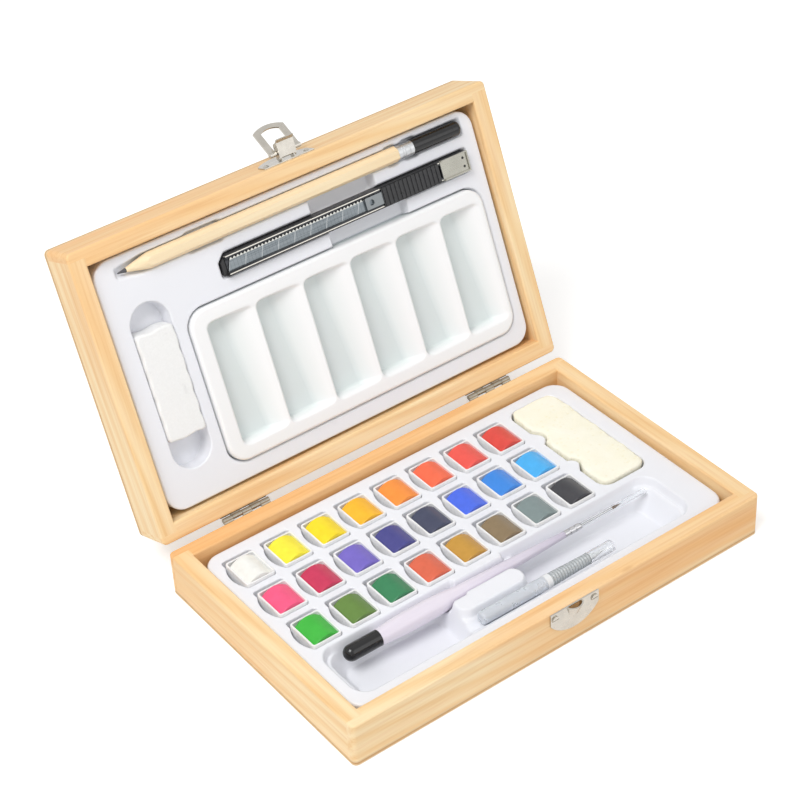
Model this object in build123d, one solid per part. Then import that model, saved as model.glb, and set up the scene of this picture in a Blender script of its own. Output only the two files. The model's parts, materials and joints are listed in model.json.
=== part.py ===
"""Two-leaf wooden watercolour box, standing open, with its paints and tools.

Frame of the whole box: X along the length, left to right; Y from front to back; Z up.
The origin is the centre of the base's underside. Sizes are in millimetres.

Everything that the lid carries is drawn in the lid's own frame, in which the lid lies on its back:
x runs as above, y runs from the hinge side (-) to the free side (+), and z = 0 is the plane of the
lid's rim, with the inside of the lid below it. lid_to_box() then stands it on its hinges.
"""
from math import cos, pi, radians, sin, sqrt
import os

from build123d import *

# ---------------------------------------------------------------- the case
CASE_L = 240.0            # outside length
CASE_W = 147.0            # outside depth
BOARD = 8.8               # thickness of the frame boards
PANEL = 2.6               # plywood under the base and on the lid
BASE_RAIL_H = 21.2        # height of the base boards above the plywood
LID_RAIL_H = 21.9         # height of the lid boards below the plywood
CORNER_R = 2.6            # rounding of the case's upright corners
RIM_ROUND = 1.0           # eased edges of the rims
LID_OPEN = 111.9          # how far the lid stands open, degrees from shut
RIM_GAP = 0.5             # between the two rims when the box is shut

BASE_H = PANEL + BASE_RAIL_H
LID_H = PANEL + LID_RAIL_H
INSIDE_L = CASE_L - 2 * BOARD
INSIDE_W = CASE_W - 2 * BOARD

# ---------------------------------------------------------------- hinges and small screws
HINGE_X = 74.5            # centre of each hinge from the middle of the box
HINGE_L = 26.5
KNUCKLES = 5
KNUCKLE_R = 1.25
KNUCKLE_GAP = 0.15
AXIS_OUT = 1.78           # hinge axis behind the back boards
LEAF_T = 0.7
LEAF_H = 10.0
PIN_R = 0.6
RUNNING = 0.05            # radial clearance of a hole round its pin
SCREW_R = 1.0
SCREW_L = 6.0
SCREW_HEAD_R = 1.9
SCREW_HEAD_T = 0.6
SLOT_W = 0.45
SCREW_SPREAD = 17.0       # between the two screws of a hinge leaf
SCREW_DROP = 6.2          # screws below the hinge axis

# ---------------------------------------------------------------- formed inserts
SKIN = 0.8
INSERT_GAP = 1.6          # insert to boards
INSERT_R = 9.5
BASE_INSERT_DROP = 4.5    # insert surface below the rim
LID_INSERT_DROP = 4.0

# pans, three rows of eight
PAN_W, PAN_L, PAN_H = 16.0, 19.5, 10.5
PAN_WALL = 1.1
PAN_CORNER = 1.2          # cut corners of a pan
PAN_PROUD = 1.5           # pan rim above the insert
CAKE_SIDE = 1.0           # paint below the pan rim at its sides
CAKE_CROWN = 1.3          # paint above the pan rim along its middle
PAN_PITCH_X, PAN_PITCH_Y = 21.47, 26.5
PAN_COLUMNS, PAN_ROWS = 8, 3
GRID_X, GRID_Y = -19.0, 16.6
PAN_CLEAR = 0.35
PAN_RELIEF = 2.4          # open strip behind each pan
LENS_BULGE = 2.4          # lifting gap left of each pan
LENS_CHORD = 17.0

# sponge
SPONGE_X0, SPONGE_X1 = 71.2, 99.6
SPONGE_Y0, SPONGE_Y1 = -17.6, 56.2
SPONGE_TOP = 2.2
SPONGE_DEPTH = 10.8
SPONGE_GAP = 0.35
RIDGE_R = 5.0             # round ends of the ridges that press into the sponge
RIDGE_IN = 3.4

# brush trough
TROUGH_X0, TROUGH_X1 = -102.5, 93.0
TROUGH_Y0, TROUGH_Y1 = -56.5, -22.5
TROUGH_DEPTH = 15.0
TROUGH_R = 8.5
TROUGH_END_RAMP = 9.0     # the right end slopes
TROUGH_SIDE_RAMP = 4.2
BRIDGE_X0, BRIDGE_X1 = -36.5, 2.5
ISLAND_Y0, ISLAND_Y1 = -44.4, -32.9
ISLAND_R = 5.2
NECK_X0 = -27.0
SHELF_DEPTH = 4.2         # upper part of the trough, over the bridge
BRUSH_Y, BRUSH_Z = -28.9, -3.5        # brush axis, z from the insert surface
CRADLE_GAP = 0.3
WATER_Y, WATER_Z = -49.6, -2.7

# ---------------------------------------------------------------- brush (radii along its axis)
BRUSH_X = (-92.3, -73.3, -45.0, -27.0, 1.0, 36.2, 46.0, 66.0, 72.0, 86.5)
CAP_R = 4.0
HANDLE_R = (4.1, 5.0, 3.65, 2.9, 1.6)
FERRULE_R = 1.7
NEEDLE_R = 0.6
TIP_R = 0.75
GUARD_R, GUARD_WALL = 1.25, 0.3

# ---------------------------------------------------------------- water brush
WATER_X = (-31.0, 6.5, 9.5, 33.0, 47.5)
BARREL_R, BARREL_WALL = 3.35, 0.6
COLLAR_R = 3.5
GRIP_R0, GRIP_R1 = 3.35, 2.8
WATER_CAP_R, WATER_CAP_WALL = 2.9, 0.5
WATER_TIP_R = 1.1

# ---------------------------------------------------------------- latch
LATCH_X = 4.0
PLATE_T = 0.7
PLATE_W = 28.5
PLATE_DROP = 14.0         # height of the half-moon plates
PLATE_END = 6.5           # their height at the cut ends
PLATE_SCREWS = 11.6       # fasteners left and right of the middle
KEEPER_EDGE = 0.6         # keeper below the base rim
LATCH_EDGE = 2.2          # latch plate above the lid rim
LEVER_AXIS_OUT, LEVER_AXIS_UP = 2.4, 4.2
LOOP_ARM = 2.5            # lever axis to loop axis
LEVER_W = 9.6
LEVER_L = 8.2
LEVER_SHEET = 0.7
LEVER_BACK = 1.6          # inside of the lever's back wall, from its axis
LEVER_ROOT_R = 1.45
LEVER_SWING = 90.0
EAR_GAP = 0.12
EAR_T = 0.8
EAR_R = 1.3
LOOP_W = 17.5
LOOP_L = 17.0
LOOP_T = 0.9
LOOP_WINDOW_W = 10.4
LOOP_BAR = 2.5
LOOP_SAG = 2.4
LOOP_WINDOW_SAG = 1.5
LOOP_KNUCKLE_R = 1.2
LOOP_SIDE_GAP = 0.25
LOOP_OPEN = 136.0         # loop from hanging straight down, as it stands in the open box
SCOOP_W, SCOOP_OUT, SCOOP_WALL = 9.0, 3.9, 0.7
SCOOP_FOOT_W, SCOOP_FOOT_OUT = 6.0, 1.4
SCOOP_TOP, SCOOP_FOOT = 1.0, 6.9      # below the base rim

# ---------------------------------------------------------------- lid: pencil
PENCIL_Y, PENCIL_Z = 55.3, -4.3
PENCIL_X = (-97.0, -92.6, -80.0, 62.1, 71.4, 100.8)
PENCIL_FLATS = 7.0
LEAD_R = 1.1
FERRULE_WALL_R = 3.75
PENCIL_CAP_R = 4.0
PENCIL_GAP = 0.25

# ---------------------------------------------------------------- lid: knife
KNIFE_X0, KNIFE_X1 = -46.2, 100.0
KNIFE_Y = 38.5
KNIFE_W = 10.4
KNIFE_TOP, KNIFE_BOTTOM = -1.5, -7.2
KNIFE_CHAMFER = 3.4
CHANNEL_W, CHANNEL_T = 9.2, 0.5
CHANNEL_FLOOR = -3.5
CHANNEL_LIP = 0.9
CHANNEL_X0, CHANNEL_X1 = -44.0, 83.0
BLADE_W, BLADE_T = 7.8, 0.5
BLADE_X0, BLADE_X1 = -41.0, 45.0
BLADE_LIFT = 0.1
BLADE_SEGMENT = 9.4
BLADE_SLANT = 3.2
SLIDER_X0, SLIDER_X1 = 46.6, 81.6
SLIDER_NECK_W, SLIDER_CAP_W = 6.0, 9.4
SLIDER_CAP_Z, SLIDER_TOP = -1.1, -0.35
SLIDER_RIBS = 14
SLIDER_TONGUE_X = 36.5
KNIFE_TRAVEL = 40.0
TOOTH_PITCH = 2.6
CLIP_X0, CLIP_T = 83.4, 0.5
KNIFE_GAP = 0.35

# ---------------------------------------------------------------- lid: eraser and palette
ERASER_X, ERASER_Y = -89.05, -3.0
ERASER_W, ERASER_L, ERASER_T = 20.4, 54.0, 11.0
ERASER_PROUD = 1.3
ERASER_POCKET_Y0, ERASER_POCKET_Y1 = -46.0, 37.5
ERASER_GAP = 0.3
ERASER_WORN = 1.2         # rubbed edges

PALETTE_X0, PALETTE_X1 = -71.6, 102.7
PALETTE_Y0, PALETTE_Y1 = -54.0, 24.2
PALETTE_R = 9.5
PALETTE_H = 8.4
PALETTE_PROUD = 1.8
PALETTE_WALL = 1.2
PALETTE_GAP = 0.4
WELLS = 6
WELL_PITCH = 27.7
WELL_X0 = -63.1
WELL_Y0, WELL_Y1 = -45.8, 15.6
WELL_DEPTH = 6.8
WELL_FLOOR_L = 15.5
WELL_OPEN_L = 26.5
WELL_LAST_L = 24.3        # the last well is cut short by the palette's edge
WELL_STEEP = 0.9
WELL_R = 3.0


# ================================================================ helpers
def area(x0, x1, y0, y1, radius=0.0):
    """Rectangle between two corners, its own corners rounded."""
    shape = RectangleRounded(x1 - x0, y1 - y0, radius) if radius else Rectangle(x1 - x0, y1 - y0)
    return Pos((x0 + x1) / 2, (y0 + y1) / 2) * shape


def octagon(x0, x1, y0, y1, corner):
    """Rectangle between two corners, its own corners cut off."""
    return chamfer(area(x0, x1, y0, y1).vertices(), corner)


def down(sketch, depth, top=0.0):
    """Prism from a sketch down from a level."""
    return extrude(Pos(0, 0, top) * sketch, amount=depth, dir=(0, 0, -1))


def block(x0, x1, y0, y1, z0, z1):
    """Plain block between two corners."""
    return Pos((x0 + x1) / 2, (y0 + y1) / 2, (z0 + z1) / 2) * Box(x1 - x0, y1 - y0, z1 - z0)


def rod(x0, x1, y, z, radius):
    """Cylinder along X."""
    return Pos((x0 + x1) / 2, y, z) * Rot(0, 90, 0) * Cylinder(radius, x1 - x0)


def tube(x0, x1, y, z, radius, bore):
    """Sleeve along X."""
    return rod(x0, x1, y, z, radius) - rod(x0 - 1, x1 + 1, y, z, bore)


def turned(y, z, wires):
    """Solid of revolution about an axis along X, from the outline of its half section."""
    half = make_face(Plane.XY * wires)
    return Pos(0, y, z) * revolve(half, Axis.X)


def side_profile(points, x0, x1):
    """Prism along X from an outline of (y, z) points."""
    face = make_face(Plane.YZ * Polyline(*points, close=True))
    return Pos(x0, 0, 0) * extrude(face, amount=x1 - x0, dir=(1, 0, 0))


def front_profile(points, y0, y1):
    """Prism along Y from an outline of (x, z) points."""
    face = make_face(Plane.XZ * Polyline(*points, close=True))
    return Pos(0, y0, 0) * extrude(face, amount=y1 - y0, dir=(0, 1, 0))


def half_moon(width, drop, end):
    """Plate outline: a straight top edge, short upright ends and a round lower edge."""
    outline = Line((-width / 2, -end), (-width / 2, 0))
    outline += Line((-width / 2, 0), (width / 2, 0))
    outline += Line((width / 2, 0), (width / 2, -end))
    outline += ThreePointArc((width / 2, -end), (0, -drop), (-width / 2, -end))
    return make_face(outline)


def d_shape(width, length, sag):
    """Outline with a straight root on y = 0 and a round far end."""
    shoulder = length - sag
    outline = Line((-width / 2, shoulder), (-width / 2, 0))
    outline += Line((-width / 2, 0), (width / 2, 0))
    outline += Line((width / 2, 0), (width / 2, shoulder))
    outline += ThreePointArc((width / 2, shoulder), (0, length), (-width / 2, shoulder))
    return make_face(outline)


def screw(length=SCREW_L):
    """Small round-head screw, head up, seated at z = 0."""
    head = Pos(0, 0, SCREW_HEAD_T / 2) * Cylinder(SCREW_HEAD_R, SCREW_HEAD_T)
    head -= Pos(0, 0, SCREW_HEAD_T) * Box(2 * SCREW_HEAD_R, SLOT_W, SCREW_HEAD_T)
    return head + Pos(0, 0, -length / 2) * Cylinder(SCREW_R, length)


def screw_hole():
    """Room for a screw's shank."""
    return Pos(0, 0, -SCREW_L / 2) * Cylinder(SCREW_R + RUNNING, SCREW_L + 2 * SCREW_HEAD_T)


def cut_all(shape, tools):
    """Shape less every tool."""
    for tool in tools:
        shape -= tool
    return shape


def lid_to_box(shape):
    """Stand a shape drawn in the lid's own frame on the hinges, open."""
    swing = Pos(0, HINGE_AXIS_Y, HINGE_AXIS_Z) * Rot(180 - LID_OPEN, 0, 0)
    return swing * Pos(0, HINGE_AXIS_Y, -RIM_GAP / 2) * shape


HINGE_AXIS_Y = CASE_W / 2 + AXIS_OUT
HINGE_AXIS_Z = BASE_H + RIM_GAP / 2


# ================================================================ the wooden case
def rim_ring(height):
    """Frame of boards before it is divided, standing on z = 0 with its rim on top."""
    ring = extrude(RectangleRounded(CASE_L, CASE_W, CORNER_R), height)
    ring -= extrude(Rectangle(INSIDE_L, INSIDE_W), height)
    top = ring.faces().sort_by(Axis.Z)[-1]
    return fillet(top.edges(), RIM_ROUND)


def frame_boards(height):
    """The four boards. The long ones are rabbeted and the short ones are let into them."""
    ring = rim_ring(height)
    short_zone = Box(CASE_L, INSIDE_W + BOARD, 4 * height) - Box(INSIDE_L, CASE_W, 4 * height)
    short = ring & short_zone
    long = ring - short_zone
    left, right = short.solids().sort_by(Axis.X)
    front, back = long.solids().sort_by(Axis.Y)
    return {"front": front, "back": back, "left": left, "right": right}


def plywood():
    """Thin panel, as large as the frame."""
    panel = extrude(RectangleRounded(CASE_L, CASE_W, CORNER_R), PANEL)
    return panel


def back_screw_places(level):
    """Hinge screw places on a back face, for a leaf whose axis is at a level."""
    for side in (-1, 1):
        for end in (-1, 1):
            x = side * HINGE_X + end * SCREW_SPREAD / 2
            yield Pos(x, CASE_W / 2 + LEAF_T, level - SCREW_DROP) * Rot(-90, 0, 0)


def keeper_screw_places():
    """Screw places on the catch plate, on the base's front face."""
    for end in (-1, 1):
        z = BASE_H - KEEPER_EDGE - PLATE_END / 2
        yield Pos(LATCH_X + end * PLATE_SCREWS, -CASE_W / 2 - PLATE_T, z) * Rot(90, 0, 0)


def latch_rivet_places():
    """Rivet places on the latch plate, in the lid's frame."""
    for end in (-1, 1):
        z = -LATCH_EDGE - PLATE_END / 2
        yield Pos(LATCH_X + end * PLATE_SCREWS, CASE_W / 2 + PLATE_T, z) * Rot(-90, 0, 0)


def base_boards():
    """Base boards on the bottom panel, drilled for hinges and catch."""
    boards = {side: Pos(0, 0, PANEL) * board for side, board in frame_boards(BASE_RAIL_H).items()}
    holes = [place * screw_hole() for place in back_screw_places(HINGE_AXIS_Z)]
    boards["back"] = cut_all(boards["back"], holes)
    holes = [place * screw_hole() for place in keeper_screw_places()]
    boards["front"] = cut_all(boards["front"], holes)
    return boards


def lid_boards():
    """Lid boards in the lid's frame; the free side is the lid's front."""
    boards = {side: Pos(0, 0, -LID_RAIL_H) * board for side, board in frame_boards(LID_RAIL_H).items()}
    hinge_side, free_side = boards["front"], boards["back"]
    holes = [lid_leaf_flip(place) * screw_hole() for place in back_screw_places(0)]
    hinge_side = cut_all(hinge_side, holes)
    holes = [place * screw_hole() for place in latch_rivet_places()]
    free_side = cut_all(free_side, holes)
    return {"front": free_side, "back": hinge_side, "left": boards["left"], "right": boards["right"]}


# ================================================================ hinges
def lid_leaf_flip(shape):
    """Carry a hinge piece drawn below an axis at z = 0 to the lid, in the lid's frame."""
    return Pos(0, 0, RIM_GAP / 2) * Rot(0, 0, 180) * shape


def knuckle_spans(first):
    """Start and end of every second knuckle."""
    pitch = HINGE_L / KNUCKLES
    for index in range(first, KNUCKLES, 2):
        start = -HINGE_L / 2 + index * pitch
        yield start + KNUCKLE_GAP / 2, start + pitch - KNUCKLE_GAP / 2


def hinge_leaf(first_knuckle):
    """Leaf on a back face, hanging below its axis; x = 0 is the middle and z = 0 the axis."""
    back = CASE_W / 2
    leaf = block(-HINGE_L / 2, HINGE_L / 2, back, back + LEAF_T, -LEAF_H, -KNUCKLE_R - 0.35)
    for x0, x1 in knuckle_spans(first_knuckle):
        leaf += rod(x0, x1, back + AXIS_OUT, 0, KNUCKLE_R)
        leaf += block(x0, x1, back, back + LEAF_T, -KNUCKLE_R - 0.35, -KNUCKLE_R / 2)
        leaf += side_profile([(back, -KNUCKLE_R / 2), (back, -KNUCKLE_R - 0.35),
                              (back + LEAF_T, -KNUCKLE_R - 0.35), (back + AXIS_OUT, -KNUCKLE_R),
                              (back + AXIS_OUT, 0), (back + AXIS_OUT - KNUCKLE_R, 0)], x0, x1)
        leaf -= rod(x0 - 1, x1 + 1, back + AXIS_OUT, 0, PIN_R + RUNNING)
    for end in (-1, 1):
        place = Pos(end * SCREW_SPREAD / 2, back + LEAF_T, -SCREW_DROP) * Rot(-90, 0, 0)
        leaf -= place * screw_hole()
    return leaf


def hinge_pieces():
    """Both hinges: base leaves, pins and lid leaves, by node name."""
    pieces = {}
    for name, side in (("left", -1), ("right", 1)):
        centre = Pos(side * HINGE_X, 0, 0)
        base_leaf = Pos(0, 0, HINGE_AXIS_Z) * centre * hinge_leaf(0)
        pin = rod(-HINGE_L / 2, HINGE_L / 2, HINGE_AXIS_Y, HINGE_AXIS_Z, PIN_R)
        pieces[f"hinge_{name}_base_leaf"] = base_leaf
        pieces[f"hinge_{name}_pin"] = centre * pin
        pieces[f"hinge_{name}_lid_leaf"] = lid_to_box(centre * lid_leaf_flip(hinge_leaf(1)))
    base_screws = [place * screw() for place in back_screw_places(HINGE_AXIS_Z)]
    lid_screws = [lid_to_box(lid_leaf_flip(place * screw())) for place in back_screw_places(0)]
    pieces["hinge_screws_base"] = Compound(children=base_screws)
    pieces["hinge_screws_lid"] = Compound(children=lid_screws)
    return pieces


# ================================================================ formed inserts
def formed_insert(cavities, height):
    """Skin with a plain border, a skirt that stands on the panel, and formed cavities.

    Each cavity is a function that gives its hollow, grown on all sides by the amount it is told.
    """
    length, width = INSIDE_L - 2 * INSERT_GAP, INSIDE_W - 2 * INSERT_GAP
    shell = down(RectangleRounded(length, width, INSERT_R), height)
    inner = RectangleRounded(length - 2 * SKIN, width - 2 * SKIN, INSERT_R - SKIN)
    shell -= down(inner, height, top=-SKIN)
    shell = shell + [cavity(SKIN) for cavity in cavities]
    shell &= down(Rectangle(length, width), height)
    return shell - [cavity(0.0) for cavity in cavities]


def pan_places():
    """Centre of every pan, row by row from the front."""
    for row in range(PAN_ROWS):
        y = GRID_Y + (row - (PAN_ROWS - 1) / 2) * PAN_PITCH_Y
        yield row, [(GRID_X + (column - (PAN_COLUMNS - 1) / 2) * PAN_PITCH_X, y)
                    for column in range(PAN_COLUMNS)]


def pan_pocket(x, y):
    """Pocket for one pan, with a lens-shaped lifting gap at its left and a strip behind."""
    radius = (LENS_CHORD ** 2 / 4 + LENS_BULGE ** 2) / (2 * LENS_BULGE)
    left = x - PAN_W / 2 - PAN_CLEAR

    def hollow(grow):
        well = octagon(left - grow, x + PAN_W / 2 + PAN_CLEAR + grow, y - PAN_L / 2 - PAN_CLEAR - grow,
                       y + PAN_L / 2 + PAN_RELIEF + grow, PAN_CORNER + grow / 2)
        lens = Pos(left - LENS_BULGE + radius, y) * Circle(radius + grow)
        lens &= area(left - LENS_BULGE - 2 * SKIN, x, y - PAN_L / 2, y + PAN_L / 2)
        return down(well + lens, PAN_H - PAN_PROUD + grow)
    return hollow


def sponge_outline(gap):
    """Sponge seen from above: its left side bulges between the ends of the ridges."""
    outline = area(SPONGE_X0 - gap, SPONGE_X1 + gap, SPONGE_Y0 - gap, SPONGE_Y1 + gap, 6.0 + gap)
    for step in (-0.5, 0.5):
        ridge_y = GRID_Y + PAN_RELIEF / 2 + step * PAN_PITCH_Y
        centre_x = SPONGE_X0 + RIDGE_IN - RIDGE_R
        outline -= Pos(centre_x, ridge_y) * Circle(RIDGE_R - gap)
    return outline


def sponge_pocket(grow):
    """Pocket for the sponge."""
    return down(sponge_outline(SPONGE_GAP + grow), SPONGE_DEPTH + SPONGE_GAP + grow)


def trough_outline(grow):
    """The trough at the insert's surface, with its neck and without the island."""
    left = area(TROUGH_X0 - grow, BRIDGE_X1, TROUGH_Y0 - grow, TROUGH_Y1 + grow, TROUGH_R + grow)
    right = area(BRIDGE_X0, TROUGH_X1 + grow, TROUGH_Y0 - grow, TROUGH_Y1 + grow, TROUGH_R + grow)
    neck_y = BRUSH_Y + HANDLE_R[2] + CRADLE_GAP + grow
    neck = area(NECK_X0 + grow, BRIDGE_X1 - grow, neck_y, TROUGH_Y1 + 2 * SKIN)
    island = area(BRIDGE_X0 + grow, BRIDGE_X1 - grow, ISLAND_Y0 + grow, ISLAND_Y1 - grow, ISLAND_R - grow)
    return left + right - neck - island


def trough_shelf(grow):
    """Upper part of the trough, which runs over the bridge."""
    return down(trough_outline(grow), SHELF_DEPTH + grow)


def ramped_well(x0, x1, floor_x0, floor_x1):
    """Deep part of the trough: its walls slope in towards the floor."""
    def hollow(grow):
        top = area(x0 - grow, x1 + grow, TROUGH_Y0 - grow, TROUGH_Y1 + grow, TROUGH_R + grow)
        floor = area(floor_x0 - grow, floor_x1 + grow, TROUGH_Y0 + TROUGH_SIDE_RAMP - grow,
                     TROUGH_Y1 - TROUGH_SIDE_RAMP + grow, TROUGH_R - TROUGH_SIDE_RAMP / 2 + grow)
        return loft([top, Pos(0, 0, -TROUGH_DEPTH - grow) * floor], ruled=True)
    return hollow


def cradle(x0, x1, y, z, radius):
    """Round-bottomed groove across the bridge for a brush."""
    def hollow(grow):
        groove = rod(x0, x1, y, z, radius + grow)
        return groove + block(x0, x1, y - radius - grow, y + radius + grow, z, 0)
    return hollow


def base_insert():
    """Insert of the base, its surface on z = 0."""
    cavities = [pan_pocket(x, y) for _, places in pan_places() for x, y in places]
    cavities.append(sponge_pocket)
    cavities.append(trough_shelf)
    cavities.append(ramped_well(TROUGH_X0, BRIDGE_X0, TROUGH_X0 + TROUGH_END_RAMP, BRIDGE_X0 - 2.0))
    cavities.append(ramped_well(BRIDGE_X1, TROUGH_X1, BRIDGE_X1 + 2.0, TROUGH_X1 - TROUGH_END_RAMP))
    x0, x1 = BRIDGE_X0 - TROUGH_SIDE_RAMP, BRIDGE_X1 + TROUGH_SIDE_RAMP
    cavities.append(cradle(x0, NECK_X0, BRUSH_Y, BRUSH_Z, HANDLE_R[1] + CRADLE_GAP))
    cavities.append(cradle(NECK_X0, x1, BRUSH_Y, BRUSH_Z, HANDLE_R[2] + CRADLE_GAP))
    cavities.append(cradle(x0, x1, WATER_Y, WATER_Z, BARREL_R + CRADLE_GAP))
    return formed_insert(cavities, BASE_RAIL_H - BASE_INSERT_DROP)


# ================================================================ pans, sponge, brushes
def pan_section(inset):
    """Pan seen from above, drawn in from its outside."""
    half_w, half_l = PAN_W / 2 - inset, PAN_L / 2 - inset
    return octagon(-half_w, half_w, -half_l, half_l, PAN_CORNER - inset / 2)


def pan_cup():
    """Half-pan cup, its rim on z = 0."""
    return down(pan_section(0), PAN_H) - down(pan_section(PAN_WALL), PAN_H - PAN_WALL)


def paint_cake():
    """Cake of paint that fills a cup, arched from side to side, with the cup's rim on z = 0."""
    half, rise = PAN_W / 2 - PAN_WALL, CAKE_SIDE + CAKE_CROWN
    arch_r = (half ** 2 + rise ** 2) / (2 * rise)
    arch = Pos(0, 0, CAKE_CROWN - arch_r) * Rot(90, 0, 0) * Cylinder(arch_r, PAN_L)
    return down(pan_section(PAN_WALL), PAN_H - PAN_WALL + CAKE_CROWN, top=CAKE_CROWN) & arch


def pan_rows():
    """Cups and cakes, one group of eight to a row."""
    cup, cake = pan_cup(), paint_cake()
    names = ("front", "middle", "back")
    pieces = {}
    for row, places in pan_places():
        spots = [Pos(x, y, INSERT_Z + PAN_PROUD) for x, y in places]
        pieces[f"pan_cups_{names[row]}_row"] = Compound(children=[spot * cup for spot in spots])
        pieces[f"paint_cakes_{names[row]}_row"] = Compound(children=[spot * cake for spot in spots])
    return pieces


def sponge():
    """Sponge, crowned, with rounded edges."""
    body = down(sponge_outline(0.0), SPONGE_DEPTH + SPONGE_TOP - 1.2, top=SPONGE_TOP - 1.2)
    crown_r = 420.0
    middle_x, middle_y = (SPONGE_X0 + SPONGE_X1) / 2, (SPONGE_Y0 + SPONGE_Y1) / 2
    crown = down(sponge_outline(-0.9), 3.0, top=SPONGE_TOP)
    crown &= Pos(middle_x, middle_y, SPONGE_TOP - crown_r) * Sphere(crown_r)
    return body + crown


def brush_pieces():
    """Paint brush, from its end cap to the guard over its bristles."""
    x = BRUSH_X
    cap = (Line((x[1], 0), (x[1], CAP_R)) + Line((x[1], CAP_R), (x[0] + CAP_R, CAP_R))
           + CenterArc((x[0] + CAP_R, 0), CAP_R, 90, 90) + Line((x[0], 0), (x[1], 0)))
    stations = tuple(zip((x[1], x[2], x[3], x[4], x[5]), HANDLE_R))
    handle = (Line((x[1], 0), stations[0]) + ThreePointArc(*stations[:3]) + ThreePointArc(*stations[2:])
              + Line(stations[-1], (x[5], 0)) + Line((x[5], 0), (x[1], 0)))
    pieces = {"brush_end_cap": turned(BRUSH_Y, BRUSH_Z, cap),
              "brush_handle": turned(BRUSH_Y, BRUSH_Z, handle)}
    ring = (x[6] - x[5]) / 3
    ferrule = rod(x[5], x[6], BRUSH_Y, BRUSH_Z, FERRULE_R - 0.35)
    for step in (0.0, 1.05, 2.1):
        start = x[5] + step * ring
        ferrule += rod(start, start + 0.8 * ring, BRUSH_Y, BRUSH_Z, FERRULE_R)
    pieces["brush_ferrule"] = ferrule
    pieces["brush_needle_tube"] = rod(x[6], x[7], BRUSH_Y, BRUSH_Z, NEEDLE_R)
    tip = (Line((x[7], 0), (x[7], NEEDLE_R)) + Line((x[7], NEEDLE_R), (x[7] + 1.6, TIP_R))
           + Line((x[7] + 1.6, TIP_R), (x[8], 0)) + Line((x[8], 0), (x[7], 0)))
    pieces["brush_bristles"] = turned(BRUSH_Y, BRUSH_Z, tip)
    pieces["brush_guard_tube"] = tube(x[6] + 0.4, x[9], BRUSH_Y, BRUSH_Z, GUARD_R, GUARD_R - GUARD_WALL)
    return pieces


def water_brush_pieces():
    """Small water brush: clear barrel, collar, grip, tip and clear cap."""
    x = WATER_X
    barrel = rod(x[0], x[1], WATER_Y, WATER_Z, BARREL_R)
    barrel = fillet(barrel.faces().sort_by(Axis.X)[0].edges(), 1.2)
    barrel -= rod(x[0] + 1.2, x[1] + 1, WATER_Y, WATER_Z, BARREL_R - BARREL_WALL)
    grip = (Line((x[2], 0), (x[2], GRIP_R0)) + Line((x[2], GRIP_R0), (x[3], GRIP_R1))
            + Line((x[3], GRIP_R1), (x[3], 0)) + Line((x[3], 0), (x[2], 0)))
    nose = (Line((x[3], 0), (x[3], 1.9)) + Line((x[3], 1.9), (x[3] + 5.0, WATER_TIP_R))
            + Line((x[3] + 5.0, WATER_TIP_R), (x[4] - 2.0, 0)) + Line((x[4] - 2.0, 0), (x[3], 0)))
    cap = rod(x[3], x[4], WATER_Y, WATER_Z, WATER_CAP_R)
    cap -= rod(x[3] - 1, x[4] - 1.0, WATER_Y, WATER_Z, WATER_CAP_R - WATER_CAP_WALL)
    return {"water_brush_barrel": barrel,
            "water_brush_collar": rod(x[1], x[2], WATER_Y, WATER_Z, COLLAR_R),
            "water_brush_grip": turned(WATER_Y, WATER_Z, grip),
            "water_brush_tip": turned(WATER_Y, WATER_Z, nose),
            "water_brush_cap": cap}


# ================================================================ catch on the base
def catch_plate():
    """Half-moon plate on the base's front face, with a scoop open at its top."""
    rim = BASE_H - KEEPER_EDGE
    face_y = -CASE_W / 2
    upright = Pos(LATCH_X, face_y, rim) * Rot(90, 0, 0)
    plate = upright * extrude(half_moon(PLATE_W, PLATE_DROP, PLATE_END), PLATE_T)
    top = Pos(LATCH_X, face_y, BASE_H - SCOOP_TOP) * Rot(180, 0, 0)
    foot = Pos(LATCH_X, face_y, BASE_H - SCOOP_FOOT) * Rot(180, 0, 0)
    wall = SCOOP_WALL
    outer = loft([top * d_shape(SCOOP_W, SCOOP_OUT, 2.2), foot * d_shape(SCOOP_FOOT_W, SCOOP_FOOT_OUT, 0.9)])
    inner_top = Pos(0, 0, 0.1) * top
    inner_foot = Pos(0, 0, wall) * foot
    inner = loft([inner_top * d_shape(SCOOP_W - 2 * wall, SCOOP_OUT - wall, 1.8),
                  inner_foot * d_shape(SCOOP_FOOT_W - 2 * wall, SCOOP_FOOT_OUT - 0.5, 0.5)])
    plate = plate + outer - inner
    return cut_all(plate, [place * screw_hole() for place in keeper_screw_places()])


# ================================================================ latch on the lid
def latch_frame(shape):
    """Carry a piece drawn about the lever's axis to the lid's free side, in the lid's frame."""
    return Pos(LATCH_X, CASE_W / 2 + LEVER_AXIS_OUT, -LEVER_AXIS_UP) * shape


def latch_plate():
    """Half-moon plate with two ears for the lever."""
    face = CASE_W / 2
    upright = Pos(LATCH_X, face, -LATCH_EDGE) * Rot(0, 0, 180) * Rot(90, 0, 0)
    plate = upright * extrude(half_moon(PLATE_W, PLATE_DROP, PLATE_END), PLATE_T)
    foot = PLATE_T - LEVER_AXIS_OUT
    for side in (-1, 1):
        outer_x = side * (LEVER_W / 2 - LEVER_SHEET - EAR_GAP)
        x0, x1 = sorted((outer_x, outer_x - side * EAR_T))
        ear = rod(x0, x1, 0, 0, EAR_R)
        ear += side_profile([(foot, -2.0), (foot, 2.0), (0, EAR_R), (0, -EAR_R)], x0, x1)
        plate += latch_frame(ear)
    plate -= latch_frame(rod(-LEVER_W, LEVER_W, 0, 0, PIN_R))
    return cut_all(plate, [place * screw_hole() for place in latch_rivet_places()])


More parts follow.
